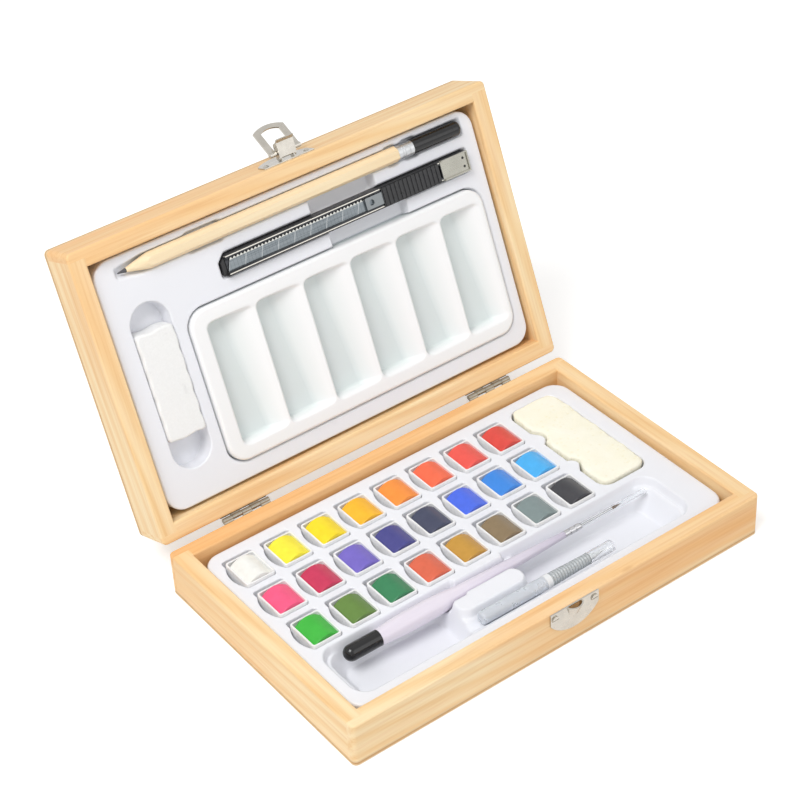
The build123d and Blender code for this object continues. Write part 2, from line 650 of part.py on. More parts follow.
def latch_rivets():
    """Two dome-head rivets through the latch plate."""
    dome_r = 2.2
    head = (Pos(0, 0, SCREW_HEAD_T + 0.2 - dome_r) * Sphere(dome_r)) & Pos(0, 0, 1) * Cylinder(SCREW_HEAD_R, 2)
    rivet = head + Pos(0, 0, -SCREW_L / 2) * Cylinder(SCREW_R, SCREW_L)
    return Compound(children=[place * rivet for place in latch_rivet_places()])


def latch_lever():
    """Channel-shaped lever standing out from the lid, its axis on the origin."""
    half, back = LEVER_W / 2, LEVER_BACK
    outer = back + LEVER_SHEET
    lever = block(-half, half, 0.4, LEVER_L, back, outer)
    lever += side_profile([(LEVER_L - 0.6, back), (LEVER_L, back), (LEVER_L + 1.3, outer + 0.8),
                           (LEVER_L + 0.9, outer + 1.3), (LEVER_L - 0.6, outer)], -half, half)
    for side in (-1, 1):
        x0, x1 = sorted((side * half, side * (half - LEVER_SHEET)))
        cheek = rod(x0, x1, 0, 0, LEVER_ROOT_R)
        cheek += side_profile([(0, -LEVER_ROOT_R), (0.4, outer), (LEVER_L, outer),
                               (LEVER_L - 1.6, -LEVER_ROOT_R)], x0, x1)
        lever += cheek
    lever -= rod(-half - 1, half + 1, 0, 0, PIN_R + RUNNING)
    return lever - rod(-half - 1, half + 1, LOOP_ARM, 0, PIN_R)


def latch_loop():
    """D-shaped loop: two arms on a pin, a window and a round end; hanging along +y from its axis."""
    loop = d_shape(LOOP_W, LOOP_L, LOOP_SAG)
    window = d_shape(LOOP_WINDOW_W, LOOP_L - LOOP_BAR + 2, LOOP_WINDOW_SAG)
    flat = extrude(loop - Pos(0, -2) * window, LOOP_T / 2, both=True)
    arm_in = LEVER_W / 2 + LOOP_SIDE_GAP
    flat -= Box(2 * arm_in, 4 * LOOP_KNUCKLE_R, 2 * LOOP_T)
    for side in (-1, 1):
        x0, x1 = sorted((side * arm_in, side * LOOP_W / 2))
        flat += rod(x0, x1, 0, 0, LOOP_KNUCKLE_R)
    return flat - rod(-LOOP_W, LOOP_W, 0, 0, PIN_R + RUNNING)


def latch_pieces():
    """The toggle latch with its lever lifted and its loop thrown back."""
    pins = LOOP_W / 2
    placed = {"latch_plate": latch_plate(),
              "latch_rivets": latch_rivets(),
              "latch_lever_pin": latch_frame(rod(-LEVER_W / 2, LEVER_W / 2, 0, 0, PIN_R)),
              "latch_lever": latch_frame(latch_lever()),
              "latch_loop_pin": latch_frame(rod(-pins, pins, LOOP_ARM, 0, PIN_R)),
              "latch_loop": latch_frame(Pos(0, LOOP_ARM, 0) * Rot(90 - LOOP_OPEN, 0, 0) * latch_loop())}
    return {name: lid_to_box(shape) for name, shape in placed.items()}


# ================================================================ what the lid holds
def pencil_slot(grow):
    """Round-bottomed slot for the pencil, tapered to its point, with finger notches."""
    radius = PENCIL_CAP_R + PENCIL_GAP + grow
    x0, x1 = PENCIL_X[0] - 1.0 - grow, PENCIL_X[-1] + 1.2 + grow
    nose = PENCIL_X[2] - 4.0
    level = PENCIL_Z + LID_INSERT_DROP
    point_r = LEAD_R + 1.2 + grow
    slot = rod(nose, x1, PENCIL_Y, level, radius)
    slot += Pos((x0 + nose) / 2, PENCIL_Y, level) * Rot(0, 90, 0) * Cone(point_r, radius, nose - x0)
    mouth = make_face(Polyline((x0, PENCIL_Y - point_r), (nose, PENCIL_Y - radius), (x1, PENCIL_Y - radius),
                               (x1, PENCIL_Y + radius), (nose, PENCIL_Y + radius), (x0, PENCIL_Y + point_r),
                               close=True))
    slot += down(mouth, -level)
    for x, width in ((-50.0, 20.0), (59.5, 7.0), (70.5, 9.0)):
        notch = Pos(x, PENCIL_Y + 0.6) * RectangleRounded(width + 2 * grow, 2 * (radius + 1.2), 2.4)
        slot += down(notch, 3.5 + grow)
    return slot


def knife_pocket(grow):
    """Pocket for the knife, with the corner of its mouth end cut off."""
    edge = KNIFE_W / 2 + KNIFE_GAP + grow
    x0, x1 = KNIFE_X0 - KNIFE_GAP - grow, KNIFE_X1 + 1.2 + grow
    chamfer = KNIFE_CHAMFER
    outline = make_face(Polyline((x0, KNIFE_Y - edge + 1.4), (x0 + 1.4, KNIFE_Y - edge), (x1, KNIFE_Y - edge),
                                 (x1, KNIFE_Y + edge), (x0 + chamfer, KNIFE_Y + edge),
                                 (x0, KNIFE_Y + edge - chamfer), close=True))
    depth = LID_SURFACE - KNIFE_BOTTOM + 0.2
    return down(outline, depth + grow)


def finger_recess(x0, x1, y0, y1, depth):
    """Rounded recess for a finger beside a tool."""
    def hollow(grow):
        return down(area(x0 - grow, x1 + grow, y0 - grow, y1 + grow, 3.4 + grow), depth + grow)
    return hollow


def palette_pocket(grow):
    """Pocket for the palette, with small grips on its long sides."""
    gap = PALETTE_GAP + grow
    outline = area(PALETTE_X0 - gap, PALETTE_X1 + gap, PALETTE_Y0 - gap, PALETTE_Y1 + gap, PALETTE_R + gap)
    return down(outline, PALETTE_H - PALETTE_PROUD + 0.2 + grow)


def eraser_pocket(grow):
    """Pocket with round ends, longer than the eraser."""
    half = ERASER_W / 2 + ERASER_GAP + grow
    outline = area(ERASER_X - half, ERASER_X + half, ERASER_POCKET_Y0 - grow, ERASER_POCKET_Y1 + grow,
                   half - 0.01)
    return down(outline, ERASER_T - ERASER_PROUD + 0.2 + grow)


def lid_insert():
    """Insert of the lid, its surface on z = 0."""
    knife_near, knife_far = KNIFE_Y - KNIFE_W / 2, KNIFE_Y + KNIFE_W / 2
    cavities = [pencil_slot, knife_pocket, palette_pocket, eraser_pocket,
                finger_recess(8.4, 46.0, knife_far - 1, PENCIL_Y - 2, 5.5),
                finger_recess(14.6, 60.0, PALETTE_Y1 - 2, knife_near + 1, 5.0)]
    return formed_insert(cavities, LID_RAIL_H - LID_INSERT_DROP)


def palette():
    """Palette with six wells; each has a steep left wall and slopes up at its right."""
    def well(index, grow):
        x = WELL_X0 + index * WELL_PITCH
        open_l = WELL_LAST_L if index == WELLS - 1 else WELL_OPEN_L
        floor = -WELL_DEPTH - grow
        profile = front_profile([(x - grow, 1), (x - grow, 0), (x + WELL_STEEP - grow, floor),
                                 (x + WELL_FLOOR_L + grow, floor), (x + open_l + grow, 0),
                                 (x + open_l + grow, 1)], WELL_Y0 - grow, WELL_Y1 + grow)
        plan = area(x - grow, x + open_l + grow, WELL_Y0 - grow, WELL_Y1 + grow, WELL_R + grow)
        return profile & down(plan, WELL_DEPTH + grow, top=0.0)
    body = down(area(PALETTE_X0, PALETTE_X1, PALETTE_Y0, PALETTE_Y1, PALETTE_R), PALETTE_H)
    body = fillet(body.faces().sort_by(Axis.Z)[-1].edges(), 1.6)
    wall = PALETTE_WALL
    body -= down(area(PALETTE_X0 + wall, PALETTE_X1 - wall, PALETTE_Y0 + wall, PALETTE_Y1 - wall,
                      PALETTE_R - wall), PALETTE_H, top=-wall)
    body = body + [well(index, wall) for index in range(WELLS)]
    return body - [well(index, 0.0) for index in range(WELLS)]


def eraser():
    """Block eraser with rubbed edges, its top on z = 0."""
    body = down(Pos(ERASER_X, ERASER_Y) * Rectangle(ERASER_W, ERASER_L), ERASER_T)
    return chamfer(body.edges(), ERASER_WORN)


def pencil_pieces():
    """Hexagonal pencil, sharpened at the left, with a ferrule and a black cap at the right."""
    x = PENCIL_X
    corner = PENCIL_FLATS / sqrt(3)
    hexagon = Pos(x[1], PENCIL_Y, PENCIL_Z) * Rot(0, 90, 0) * Rot(0, 0, 30) * RegularPolygon(corner, 6)
    wood = extrude(hexagon, amount=x[3] - x[1], dir=(1, 0, 0))
    slope = (corner - LEAD_R) / (x[2] - x[1])
    far_r = corner + slope * 3.0
    cone = Pos((x[1] + x[2] + 3) / 2, PENCIL_Y, PENCIL_Z) * Rot(0, 90, 0) * Cone(
        LEAD_R, far_r, x[2] + 3 - x[1])
    cone += rod(x[2] + 2.9, x[3] + 1, PENCIL_Y, PENCIL_Z, far_r)
    wood = wood & cone
    wood -= rod(x[1] - 1, x[3] + 1, PENCIL_Y, PENCIL_Z, LEAD_R)
    lead = rod(x[1], x[3], PENCIL_Y, PENCIL_Z, LEAD_R)
    lead += Pos((x[0] + x[1]) / 2, PENCIL_Y, PENCIL_Z) * Rot(0, 90, 0) * Cone(0.25, LEAD_R, x[1] - x[0])
    ferrule = rod(x[3], x[4], PENCIL_Y, PENCIL_Z, FERRULE_WALL_R)
    for step in (2.0, 3.4, 6.2):
        ferrule -= tube(x[3] + step, x[3] + step + 0.6, PENCIL_Y, PENCIL_Z, FERRULE_WALL_R + 1, FERRULE_WALL_R - 0.2)
    cap = rod(x[4], x[5], PENCIL_Y, PENCIL_Z, PENCIL_CAP_R)
    cap = fillet(cap.faces().sort_by(Axis.X)[-1].edges(), 2.4)
    return {"pencil_wood": wood, "pencil_lead": lead, "pencil_ferrule": ferrule, "pencil_cap": cap}


def knife_body():
    """Plastic body with a bed for the steel channel, open at its mouth end."""
    edge = KNIFE_W / 2
    x0, x1 = KNIFE_X0, KNIFE_X1
    outline = make_face(Polyline((x0, KNIFE_Y - edge + 1.4), (x0 + 1.4, KNIFE_Y - edge), (x1, KNIFE_Y - edge),
                                 (x1, KNIFE_Y + edge), (x0 + KNIFE_CHAMFER, KNIFE_Y + edge),
                                 (x0, KNIFE_Y + edge - KNIFE_CHAMFER), close=True))
    body = down(outline, KNIFE_TOP - KNIFE_BOTTOM, top=KNIFE_TOP)
    bed = CHANNEL_W / 2 + 0.05
    body -= block(x0 - 1, CHANNEL_X1, KNIFE_Y - bed, KNIFE_Y + bed, CHANNEL_FLOOR, 0)
    clip_bed = edge + 1
    return body - block(CLIP_X0 - 0.05, x1 + 1, KNIFE_Y - clip_bed, KNIFE_Y + clip_bed, KNIFE_TOP - CLIP_T, 0)


def knife_channel():
    """Steel channel with lips over the blade; one lip is toothed for the slider's catch."""
    half, wall = CHANNEL_W / 2, CHANNEL_T
    floor, top = CHANNEL_FLOOR, KNIFE_TOP
    lip = half - wall - CHANNEL_LIP
    section = [(-half, floor), (half, floor), (half, top), (lip, top), (lip, top - wall),
               (half - wall, top - wall), (half - wall, floor + wall), (-half + wall, floor + wall),
               (-half + wall, top - wall), (-lip, top - wall), (-lip, top), (-half, top)]
    channel = side_profile([(KNIFE_Y + y, z) for y, z in section], CHANNEL_X0, CHANNEL_X1)
    count = int((SLIDER_X0 - CHANNEL_X0 - 6) / TOOTH_PITCH)
    teeth = []
    for index in range(count):
        x = CHANNEL_X0 + 5 + index * TOOTH_PITCH
        tooth = make_face(Polyline((x, KNIFE_Y + lip - 0.1), (x + 1.3, KNIFE_Y + lip - 0.1),
                                   (x + 0.2, KNIFE_Y + lip + 0.55), close=True))
        teeth.append(down(tooth, 2 * wall, top=top + 0.2))
    return channel - teeth


def knife_blade():
    """Snap-off blade: slanted tip, scored segments and a hole for the slider."""
    z1 = CHANNEL_FLOOR + CHANNEL_T + BLADE_LIFT + BLADE_T
    half = BLADE_W / 2
    outline = make_face(Polyline((BLADE_X0 + BLADE_SLANT * 2, KNIFE_Y - half), (BLADE_X1, KNIFE_Y - half),
                                 (BLADE_X1, KNIFE_Y + half), (BLADE_X0, KNIFE_Y + half), close=True))
    blade = down(outline, BLADE_T, top=z1)
    scores = []
    x = BLADE_X0 + BLADE_SEGMENT
    while x < SLIDER_TONGUE_X - BLADE_SEGMENT:
        score = make_face(Polyline((x + BLADE_SLANT, KNIFE_Y - half - 0.1), (x + BLADE_SLANT + 0.3, KNIFE_Y - half - 0.1),
                                   (x - BLADE_SLANT + 0.3, KNIFE_Y + half + 0.1),
                                   (x - BLADE_SLANT, KNIFE_Y + half + 0.1), close=True))
        scores.append(down(score, 0.12, top=z1))
        x += BLADE_SEGMENT
    return blade - scores


def knife_slider():
    """Ribbed slider with a flat tongue; its pin drops into the blade's tail."""
    bottom = CHANNEL_FLOOR + CHANNEL_T + BLADE_LIFT + BLADE_T + 0.02
    neck, cap = SLIDER_NECK_W / 2, SLIDER_CAP_W / 2
    slider = block(SLIDER_TONGUE_X, SLIDER_X1, KNIFE_Y - neck, KNIFE_Y + neck, bottom, SLIDER_CAP_Z)
    slider += block(SLIDER_X0, SLIDER_X1, KNIFE_Y - cap, KNIFE_Y + cap, SLIDER_CAP_Z, SLIDER_TOP - 0.4)
    pitch = (SLIDER_X1 - SLIDER_X0) / SLIDER_RIBS
    for index in range(SLIDER_RIBS):
        x = SLIDER_X0 + (index + 0.2) * pitch
        slider += block(x, x + 0.6 * pitch, KNIFE_Y - cap, KNIFE_Y + cap, SLIDER_TOP - 0.4, SLIDER_TOP)
    hole_x = SLIDER_TONGUE_X + 3.4
    return slider - Pos(hole_x, KNIFE_Y, bottom) * Cylinder(1.5, 6)


def knife_tail_clip():
    """Sheet clip over the knife's tail, with folded edges and two small holes."""
    x0, x1 = CLIP_X0, KNIFE_X1
    half, top = KNIFE_W / 2, KNIFE_TOP
    clip = block(x0, x1, KNIFE_Y - half, KNIFE_Y + half, top - CLIP_T, top)
    for side in (-1, 1):
        y0, y1 = sorted((KNIFE_Y + side * half, KNIFE_Y + side * (half - 0.7)))
        clip += block(x0 + 0.6, x1, y0, y1, top, top + 0.7)
    clip += block(x1 - 0.7, x1, KNIFE_Y - half, KNIFE_Y + half, top, top + 0.7)
    for y in (-2.2, 2.2):
        clip -= Pos(x1 - 3.0, KNIFE_Y + y, top) * Cylinder(0.7, 4)
    return clip


# ================================================================ all pieces
INSERT_Z = BASE_H - BASE_INSERT_DROP
LID_SURFACE = -LID_INSERT_DROP


def all_pieces():
    """Every piece in its place, by node name."""
    pieces = {f"base_{side}_board": board for side, board in base_boards().items()}
    pieces["base_panel"] = plywood()
    pieces["base_insert"] = Pos(0, 0, INSERT_Z) * base_insert()
    pieces.update(pan_rows())
    pieces["sponge"] = Pos(0, 0, INSERT_Z) * sponge()
    for name, shape in {**brush_pieces(), **water_brush_pieces()}.items():
        pieces[name] = Pos(0, 0, INSERT_Z) * shape
    pieces["catch_plate"] = catch_plate()
    pieces["catch_screws"] = Compound(children=[place * screw() for place in keeper_screw_places()])
    pieces.update(hinge_pieces())

    lid = {f"lid_{side}_board": board for side, board in lid_boards().items()}
    lid["lid_panel"] = Pos(0, 0, -LID_H) * plywood()
    lid["lid_insert"] = Pos(0, 0, LID_SURFACE) * lid_insert()
    lid["palette"] = Pos(0, 0, LID_SURFACE + PALETTE_PROUD) * palette()
    lid["eraser"] = Pos(0, 0, LID_SURFACE + ERASER_PROUD) * eraser()
    lid.update(pencil_pieces())
    lid["knife_body"] = knife_body()
    lid["knife_channel"] = knife_channel()
    lid["knife_blade"] = knife_blade()
    lid["knife_slider"] = knife_slider()
    lid["knife_tail_clip"] = knife_tail_clip()
    pieces.update({name: lid_to_box(shape) for name, shape in lid.items()})
    pieces.update(latch_pieces())
    return pieces


def main():
    """Write one file for each piece."""
    os.makedirs("parts", exist_ok=True)
    for name, shape in all_pieces().items():
        export_step(shape, f"parts/{name}.step")


main()
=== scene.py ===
"""Looks of the two-leaf watercolour box: its trays, paints, tools, finishes, light and camera.

Shapes are written in millimetres, in the frame of the box, or in the lid's own frame, in which the lid
lies on its back with its rim at z = 0. LID carries a point from the lid's frame to the open lid.
"""
import json
from math import cos, pi, radians, sin, sqrt, tau

import bmesh
import bpy
import numpy as np
from mathutils import Matrix, Vector
from mathutils.geometry import delaunay_2d_cdt
from mathutils.noise import noise

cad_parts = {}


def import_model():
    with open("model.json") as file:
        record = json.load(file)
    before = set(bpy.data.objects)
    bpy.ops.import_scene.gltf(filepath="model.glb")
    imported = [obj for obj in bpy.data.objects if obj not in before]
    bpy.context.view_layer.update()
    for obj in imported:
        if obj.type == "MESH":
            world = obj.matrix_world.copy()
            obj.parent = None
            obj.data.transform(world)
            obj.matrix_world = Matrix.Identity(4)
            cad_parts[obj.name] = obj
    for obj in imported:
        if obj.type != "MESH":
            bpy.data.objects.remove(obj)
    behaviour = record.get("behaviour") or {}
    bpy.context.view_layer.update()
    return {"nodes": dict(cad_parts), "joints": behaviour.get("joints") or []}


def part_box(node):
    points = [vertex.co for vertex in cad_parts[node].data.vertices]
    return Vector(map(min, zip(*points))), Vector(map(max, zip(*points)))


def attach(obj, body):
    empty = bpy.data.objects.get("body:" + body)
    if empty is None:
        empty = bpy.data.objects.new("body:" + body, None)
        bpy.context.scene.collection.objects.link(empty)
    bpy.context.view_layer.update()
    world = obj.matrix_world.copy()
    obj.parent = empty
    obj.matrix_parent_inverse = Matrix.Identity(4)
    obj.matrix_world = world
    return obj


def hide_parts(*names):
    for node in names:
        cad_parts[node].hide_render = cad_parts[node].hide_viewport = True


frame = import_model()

NODES = frame["nodes"]
MM = 0.001
LID_OPEN = 111.9                      # degrees from shut, as in the CAD frame
RIM_GAP, LID_H, PANEL_T = 0.5, 24.5, 2.6
HINGE = Vector(next(j for j in frame["joints"] if j["name"] == "lid_hinge")["pos_m"]) / MM
LID_TURN = -radians(180 - LID_OPEN)
LID = (Matrix.Translation(HINGE) @ Matrix.Rotation(-LID_TURN, 4, "X")
       @ Matrix.Translation((0, HINGE.y, -RIM_GAP / 2)))

# ------------------------ levels and sizes of the formed sheets
BASE_SURFACE = 19.3
LID_SURFACE = -4.0
INSERT_X, INSERT_Y, INSERT_R = 109.6, 63.1, 9.5
EDGE = 0.9                            # rounding of a formed edge
BLUR = 0.42                           # softness of the free forms

PAN_W, PAN_L, PAN_R = 16.0, 19.5, 1.6
PAN_GAP, PAN_RELIEF, PAN_DEPTH = 0.2, 3.1, 9.0
PAN_EDGE = 0.55
PAN_WALL = 0.95
LENS_BULGE, LENS_CHORD = 2.4, 17.0
SPONGE = (71.2, 99.6, -17.6, 56.2)
SPONGE_MIDDLE = ((SPONGE[0] + SPONGE[1]) / 2, (SPONGE[2] + SPONGE[3]) / 2)
SPONGE_GAP, SPONGE_DEPTH, SPONGE_TOP = 0.35, 10.8, 2.2
RIDGE_R, RIDGE_IN = 5.0, 3.4

TROUGH = (-102.5, 93.0, -56.5, -22.5)
TROUGH_DEPTH, TROUGH_R, TROUGH_FOOT_R, SHELF_DEPTH = 15.0, 8.5, 6.4, 4.2
BRIDGE = (-36.5, 2.5)
ISLAND = (-44.4, -32.8)
NECK_X = -27.0
BRUSH_Y, BRUSH_Z = -28.9, -3.5
WATER_Y, WATER_Z = -49.6, -2.7

PALETTE = (-71.6, 102.7, -54.0, 24.2)
PALETTE_H, PALETTE_R, PALETTE_TOP = 8.4, 9.5, -2.2
WELLS, WELL_X0, WELL_PITCH = 6, -63.1, 27.7
WELL_Y = (-45.8, 15.6)
WELL_DEPTH, WELL_OPEN, WELL_LAST = 6.8, 26.5, 24.3
WELL_FLOOR = (17.0, 9.5)              # length of a well's floor at its low and at its high end

ERASER_X, ERASER_Y = -89.05, -3.0
ERASER_W, ERASER_L, ERASER_T, ERASER_PROUD = 20.4, 54.0, 11.0, 1.3
ERASER_POCKET = (-46.0, 37.5)
ERASER_ROUND = 1.2
SCALLOP, SCALLOP_TURN = 0.55, 0.29    # depth of the worn sides and their turn per millimetre
PENCIL_Y, PENCIL_Z = 55.3, -4.3
KNIFE_X, KNIFE_Y, KNIFE_W = (-46.2, 100.0), 38.5, 10.4
KNIFE_HIGHLIGHT_EDGE = 4.15                   # from the middle to the channel's edges, where highlights are painted
BLADE_X, BLADE_HALF, BLADE_Z = (-42.6, 45.0), 3.9, (-2.9, -2.4)
SCORE_START, SCORE_PITCH, SCORE_SLANT = -33.2, 9.4, -0.4
RACK, RACK_PITCH = (2.0, 3.1), 2.0    # row of teeth, from the blade's middle
SLIDER_X = 46.6


# ======================== mesh helpers
class Shape:
    """Points in millimetres and faces of one piece while it is put together."""

    def __init__(self):
        self.points = []
        self.faces = []

    def add(self, points):
        """Adds points and returns their numbers."""
        start = len(self.points)
        self.points.extend(tuple(float(c) for c in p) for p in points)
        return list(range(start, len(self.points)))

    def bridge(self, a, b):
        """Quads between two closed rings that run the same way."""
        n = len(a)
        self.faces.extend((a[i], a[(i + 1) % n], b[(i + 1) % n], b[i]) for i in range(n))

    def rings(self, loops, bottom=False, top=False):
        """Skin over a row of rings, with end faces where asked."""
        numbers = [self.add(loop) for loop in loops]
        for a, b in zip(numbers, numbers[1:]):
            self.bridge(a, b)
        if bottom:
            self.faces.append(tuple(reversed(numbers[0])))
        if top:
            self.faces.append(tuple(numbers[-1]))
        return numbers

    def grid(self, xs, ys, heights, live):
        """Sheet over the live cells of a grid. Returns its edge loops, each as a list of point numbers."""
        used = np.zeros(heights.shape, bool)
        for dj in (0, 1):
            for di in (0, 1):
                used[dj:dj + live.shape[0], di:di + live.shape[1]] |= live
        numbers = np.full(heights.shape, -1)
        rows, columns = np.nonzero(used)
        numbers[rows, columns] = self.add(np.stack([xs[columns], ys[rows], heights[rows, columns]], axis=1))
        edges = set()
        for j, i in zip(*np.nonzero(live)):
            cell = [int(numbers[place]) for place in ((j, i), (j, i + 1), (j + 1, i + 1), (j + 1, i))]
            self.faces.append(tuple(cell))
            for a, b in zip(cell, cell[1:] + cell[:1]):
                if (b, a) in edges:
                    edges.remove((b, a))
                else:
                    edges.add((a, b))
        onward = dict(sorted(edges))
        loops = []
        while onward:
            start, following = onward.popitem()
            loop = [start]
            while following != start:
                loop.append(following)
                following = onward.pop(following)
            loops.append(loop)
        return loops

    def turns_left(self, loop):
        """True where a loop of point numbers runs anticlockwise, seen from above."""
        x, y = np.array([self.points[i][:2] for i in loop]).T
        return np.dot(x, np.roll(y, -1)) > np.dot(y, np.roll(x, -1))

    def plate(self, outer, holes):
        """Flat face inside the outer ring, less the holes, and again inside a ring within a hole."""
        rings = [loop if self.turns_left(loop) else loop[::-1] for loop in [outer] + holes]
        flat = [i for loop in rings for i in loop]
        starts = np.cumsum([0] + [len(ring) for ring in rings])
        regions = [list(range(a, b)) for a, b in zip(starts, starts[1:])]
        corners = [Vector(self.points[i][:2]) for i in flat]
        _, _, faces, sources, _, inside = delaunay_2d_cdt(corners, [], regions, 1, 1e-5)
        for face, region in zip(faces, inside):
            if len(region) % 2:
                self.faces.append(tuple(flat[sources[v][0]] for v in face))


def piece(name, shape, body, material, nodes=(), lid=False, level=0.0, closed=True, bevel=0.0):
    """Object of a shape, in its place, riding on its body and standing for CAD nodes."""
    mesh = bpy.data.meshes.new(name)
    place = (LID if lid else Matrix()) @ Matrix.Translation((0, 0, level))
    rows = np.array(place)
    points = np.array(shape.points) @ rows[:3, :3].T + rows[:3, 3]
    mesh.from_pydata((points * MM).tolist(), [], shape.faces)
    if closed:
        edit = bmesh.new()
        edit.from_mesh(mesh)
        bmesh.ops.recalc_face_normals(edit, faces=edit.faces)
        edit.to_mesh(mesh)
        edit.free()
    mesh.shade_smooth()
    obj = bpy.data.objects.new(name, mesh)
    bpy.context.scene.collection.objects.link(obj)
    mesh.materials.append(material)
    soften(obj, bevel)
    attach(obj, body)
    if nodes:
        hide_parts(*nodes)
    return obj


def soften(obj, bevel):
    """Rounds an object's sharp edges by a width in millimetres, and keeps its flat faces flat."""
    if bevel:
        edge = obj.modifiers.new("eased edges", "BEVEL")
        edge.width = bevel * MM
        edge.segments = 2
        edge.limit_method = "ANGLE"
        edge.angle_limit = radians(35)
        edge.miter_outer = "MITER_ARC"
    flat = obj.modifiers.new("even faces", "WEIGHTED_NORMAL")
    flat.weight = 100
    flat.keep_sharp = True


# ======================== outlines
def sd_box(x, y, x0, x1, y0, y1, r):
    """Signed distance to a rectangle with rounded corners."""
    qx = np.abs(x - (x0 + x1) / 2) - (x1 - x0) / 2 + r
    qy = np.abs(y - (y0 + y1) / 2) - (y1 - y0) / 2 + r
    return np.hypot(np.maximum(qx, 0), np.maximum(qy, 0)) + np.minimum(np.maximum(qx, qy), 0) - r


def radius_at(outline, centre, angles, offset):
    """Distance from the centre to outline = offset in each direction, by halving."""
    low, high = np.zeros_like(angles), np.full_like(angles, 260.0)
    for _ in range(34):
        middle = (low + high) / 2
        inside = outline(centre[0] + middle * np.cos(angles), centre[1] + middle * np.sin(angles)) < offset
        low, high = np.where(inside, middle, low), np.where(inside, high, middle)
    return low


def spread_angles(outline, centre, count, turn_weight=14.0):
    """Directions that give even steps along an outline and finer steps round its corners."""
    angles = np.linspace(0, tau, 1441)
    reach = radius_at(outline, centre, angles, 0.0)
    x, y = reach * np.cos(angles), reach * np.sin(angles)
    dx, dy = np.diff(x), np.diff(y)
    heading = np.unwrap(np.arctan2(dy, dx))
    turn = np.abs(np.diff(heading, append=heading[0] + tau))
    cost = np.hypot(dx, dy) + turn_weight * turn
    total = np.concatenate([[0.0], np.cumsum(cost)])
    return np.interp(np.linspace(0, total[-1], count, endpoint=False), total, angles)


def ring(outline, centre, angles, offset, z):
    """Ring of points on outline = offset at a height."""
    reach = radius_at(outline, centre, angles, offset)
    return np.stack([centre[0] + reach * np.cos(angles), centre[1] + reach * np.sin(angles),
                     np.full_like(angles, z)], axis=1)


def pocket(shape, outline, centre, count, depth, edge=EDGE, foot=0.5, draft=0.15):
    """Formed pocket: rounded edge, wall and floor. Returns the ring where it meets the surface."""
    angles = spread_angles(outline, centre, count)
    loops = [ring(outline, centre, angles, edge * (1 - s), -edge * c)
             for s, c in ((sin(t), 1 - cos(t)) for t in np.linspace(0, pi / 2, 5))]
    loops += [ring(outline, centre, angles, -draft - foot * (1 - cos(t)), -depth + foot * (1 - sin(t)))
              for t in np.linspace(0, pi / 2, 4)]
    return shape.rings(loops, top=True)[0]


def border(shape, outline, centre, count, edge, height):
    """Rounded outer edge and skirt of a formed sheet. Returns the ring where the flat starts."""
    angles = spread_angles(outline, centre, count)
    loops = [ring(outline, centre, angles, 0.0, -height)]
    loops += [ring(outline, centre, angles, -edge * (1 - cos(t)), -edge * (1 - sin(t)))
              for t in np.linspace(0, pi / 2, 6)]
    return shape.rings(loops)[-1]


def blurred(heights, step, softness):
    """Heights smoothed by a bell of the given width."""
    reach = int(3 * softness / step) + 1
    bell = np.exp(-0.5 * (np.arange(-reach, reach + 1) * step / softness) ** 2)
    bell /= bell.sum()
    for axis in (0, 1):
        padded = np.pad(heights, [(reach, reach) if k == axis else (0, 0) for k in (0, 1)], mode="edge")
        heights = np.apply_along_axis(lambda line: np.convolve(line, bell, "valid"), axis, padded)
    return heights


def grown(mask):
    """Cells next to a mask, with the mask itself, and without cells that touch only by a corner."""
    wide = np.pad(mask, 1)
    wide = mask | wide[:-2, 1:-1] | wide[2:, 1:-1] | wide[1:-1, :-2] | wide[1:-1, 2:]
    while True:
        a, b, c, d = wide[:-1, :-1], wide[:-1, 1:], wide[1:, :-1], wide[1:, 1:]
        pinched = (a & d & ~b & ~c) | (b & c & ~a & ~d)
        if not pinched.any():
            return wide
        for j, i in zip(*np.nonzero(pinched)):
            wide[j:j + 2, i:i + 2] = True


def free_form(shape, area, height, spacing, softness=BLUR, covered=None, step=0.25):
    """Sheet wherever a height, as a function of x and y, leaves the surface. Returns its edge loops.

    Where covered(x, y) is true the sheet is a flat floor, closed with one face.
    """
    x0, x1, y0, y1 = area
    fine_x = np.linspace(x0, x1, int((x1 - x0) / step) + 1)
    fine_y = np.linspace(y0, y1, int((y1 - y0) / step) + 1)
    heights = blurred(height(*np.meshgrid(fine_x, fine_y)), step, softness)
    every_x = np.linspace(0, len(fine_x) - 1, int((x1 - x0) / spacing) + 1).round().astype(int)
    every_y = np.linspace(0, len(fine_y) - 1, int((y1 - y0) / spacing) + 1).round().astype(int)
    xs, ys, heights = fine_x[every_x], fine_y[every_y], heights[np.ix_(every_y, every_x)]
    moved = np.abs(heights) > 0.02
    live = grown(moved[:-1, :-1] | moved[:-1, 1:] | moved[1:, :-1] | moved[1:, 1:])
    if covered is not None:
        live &= ~covered(*np.meshgrid((xs[:-1] + xs[1:]) / 2, (ys[:-1] + ys[1:]) / 2))
    heights = np.where(moved, heights, 0.0)
    loops = []
    for loop in shape.grid(xs, ys, heights, live):
        if abs(shape.points[loop[0]][2]) < 0.01:
            loops.append(loop)
        else:
            shape.faces.append(tuple(reversed(loop)))
    return loops


# ======================== material helpers
def linear(*colour):
    """Colour of 0 to 255 in the sRGB curve, as linear RGBA."""
    parts = [c / 255 for c in colour]
    return tuple(p / 12.92 if p <= 0.04045 else ((p + 0.055) / 1.055) ** 2.4 for p in parts) + (1.0,)


def shaded(colour, share):
    """Linear colour dimmed to a share of itself."""
    return tuple(c * share for c in colour[:3]) + (1.0,)


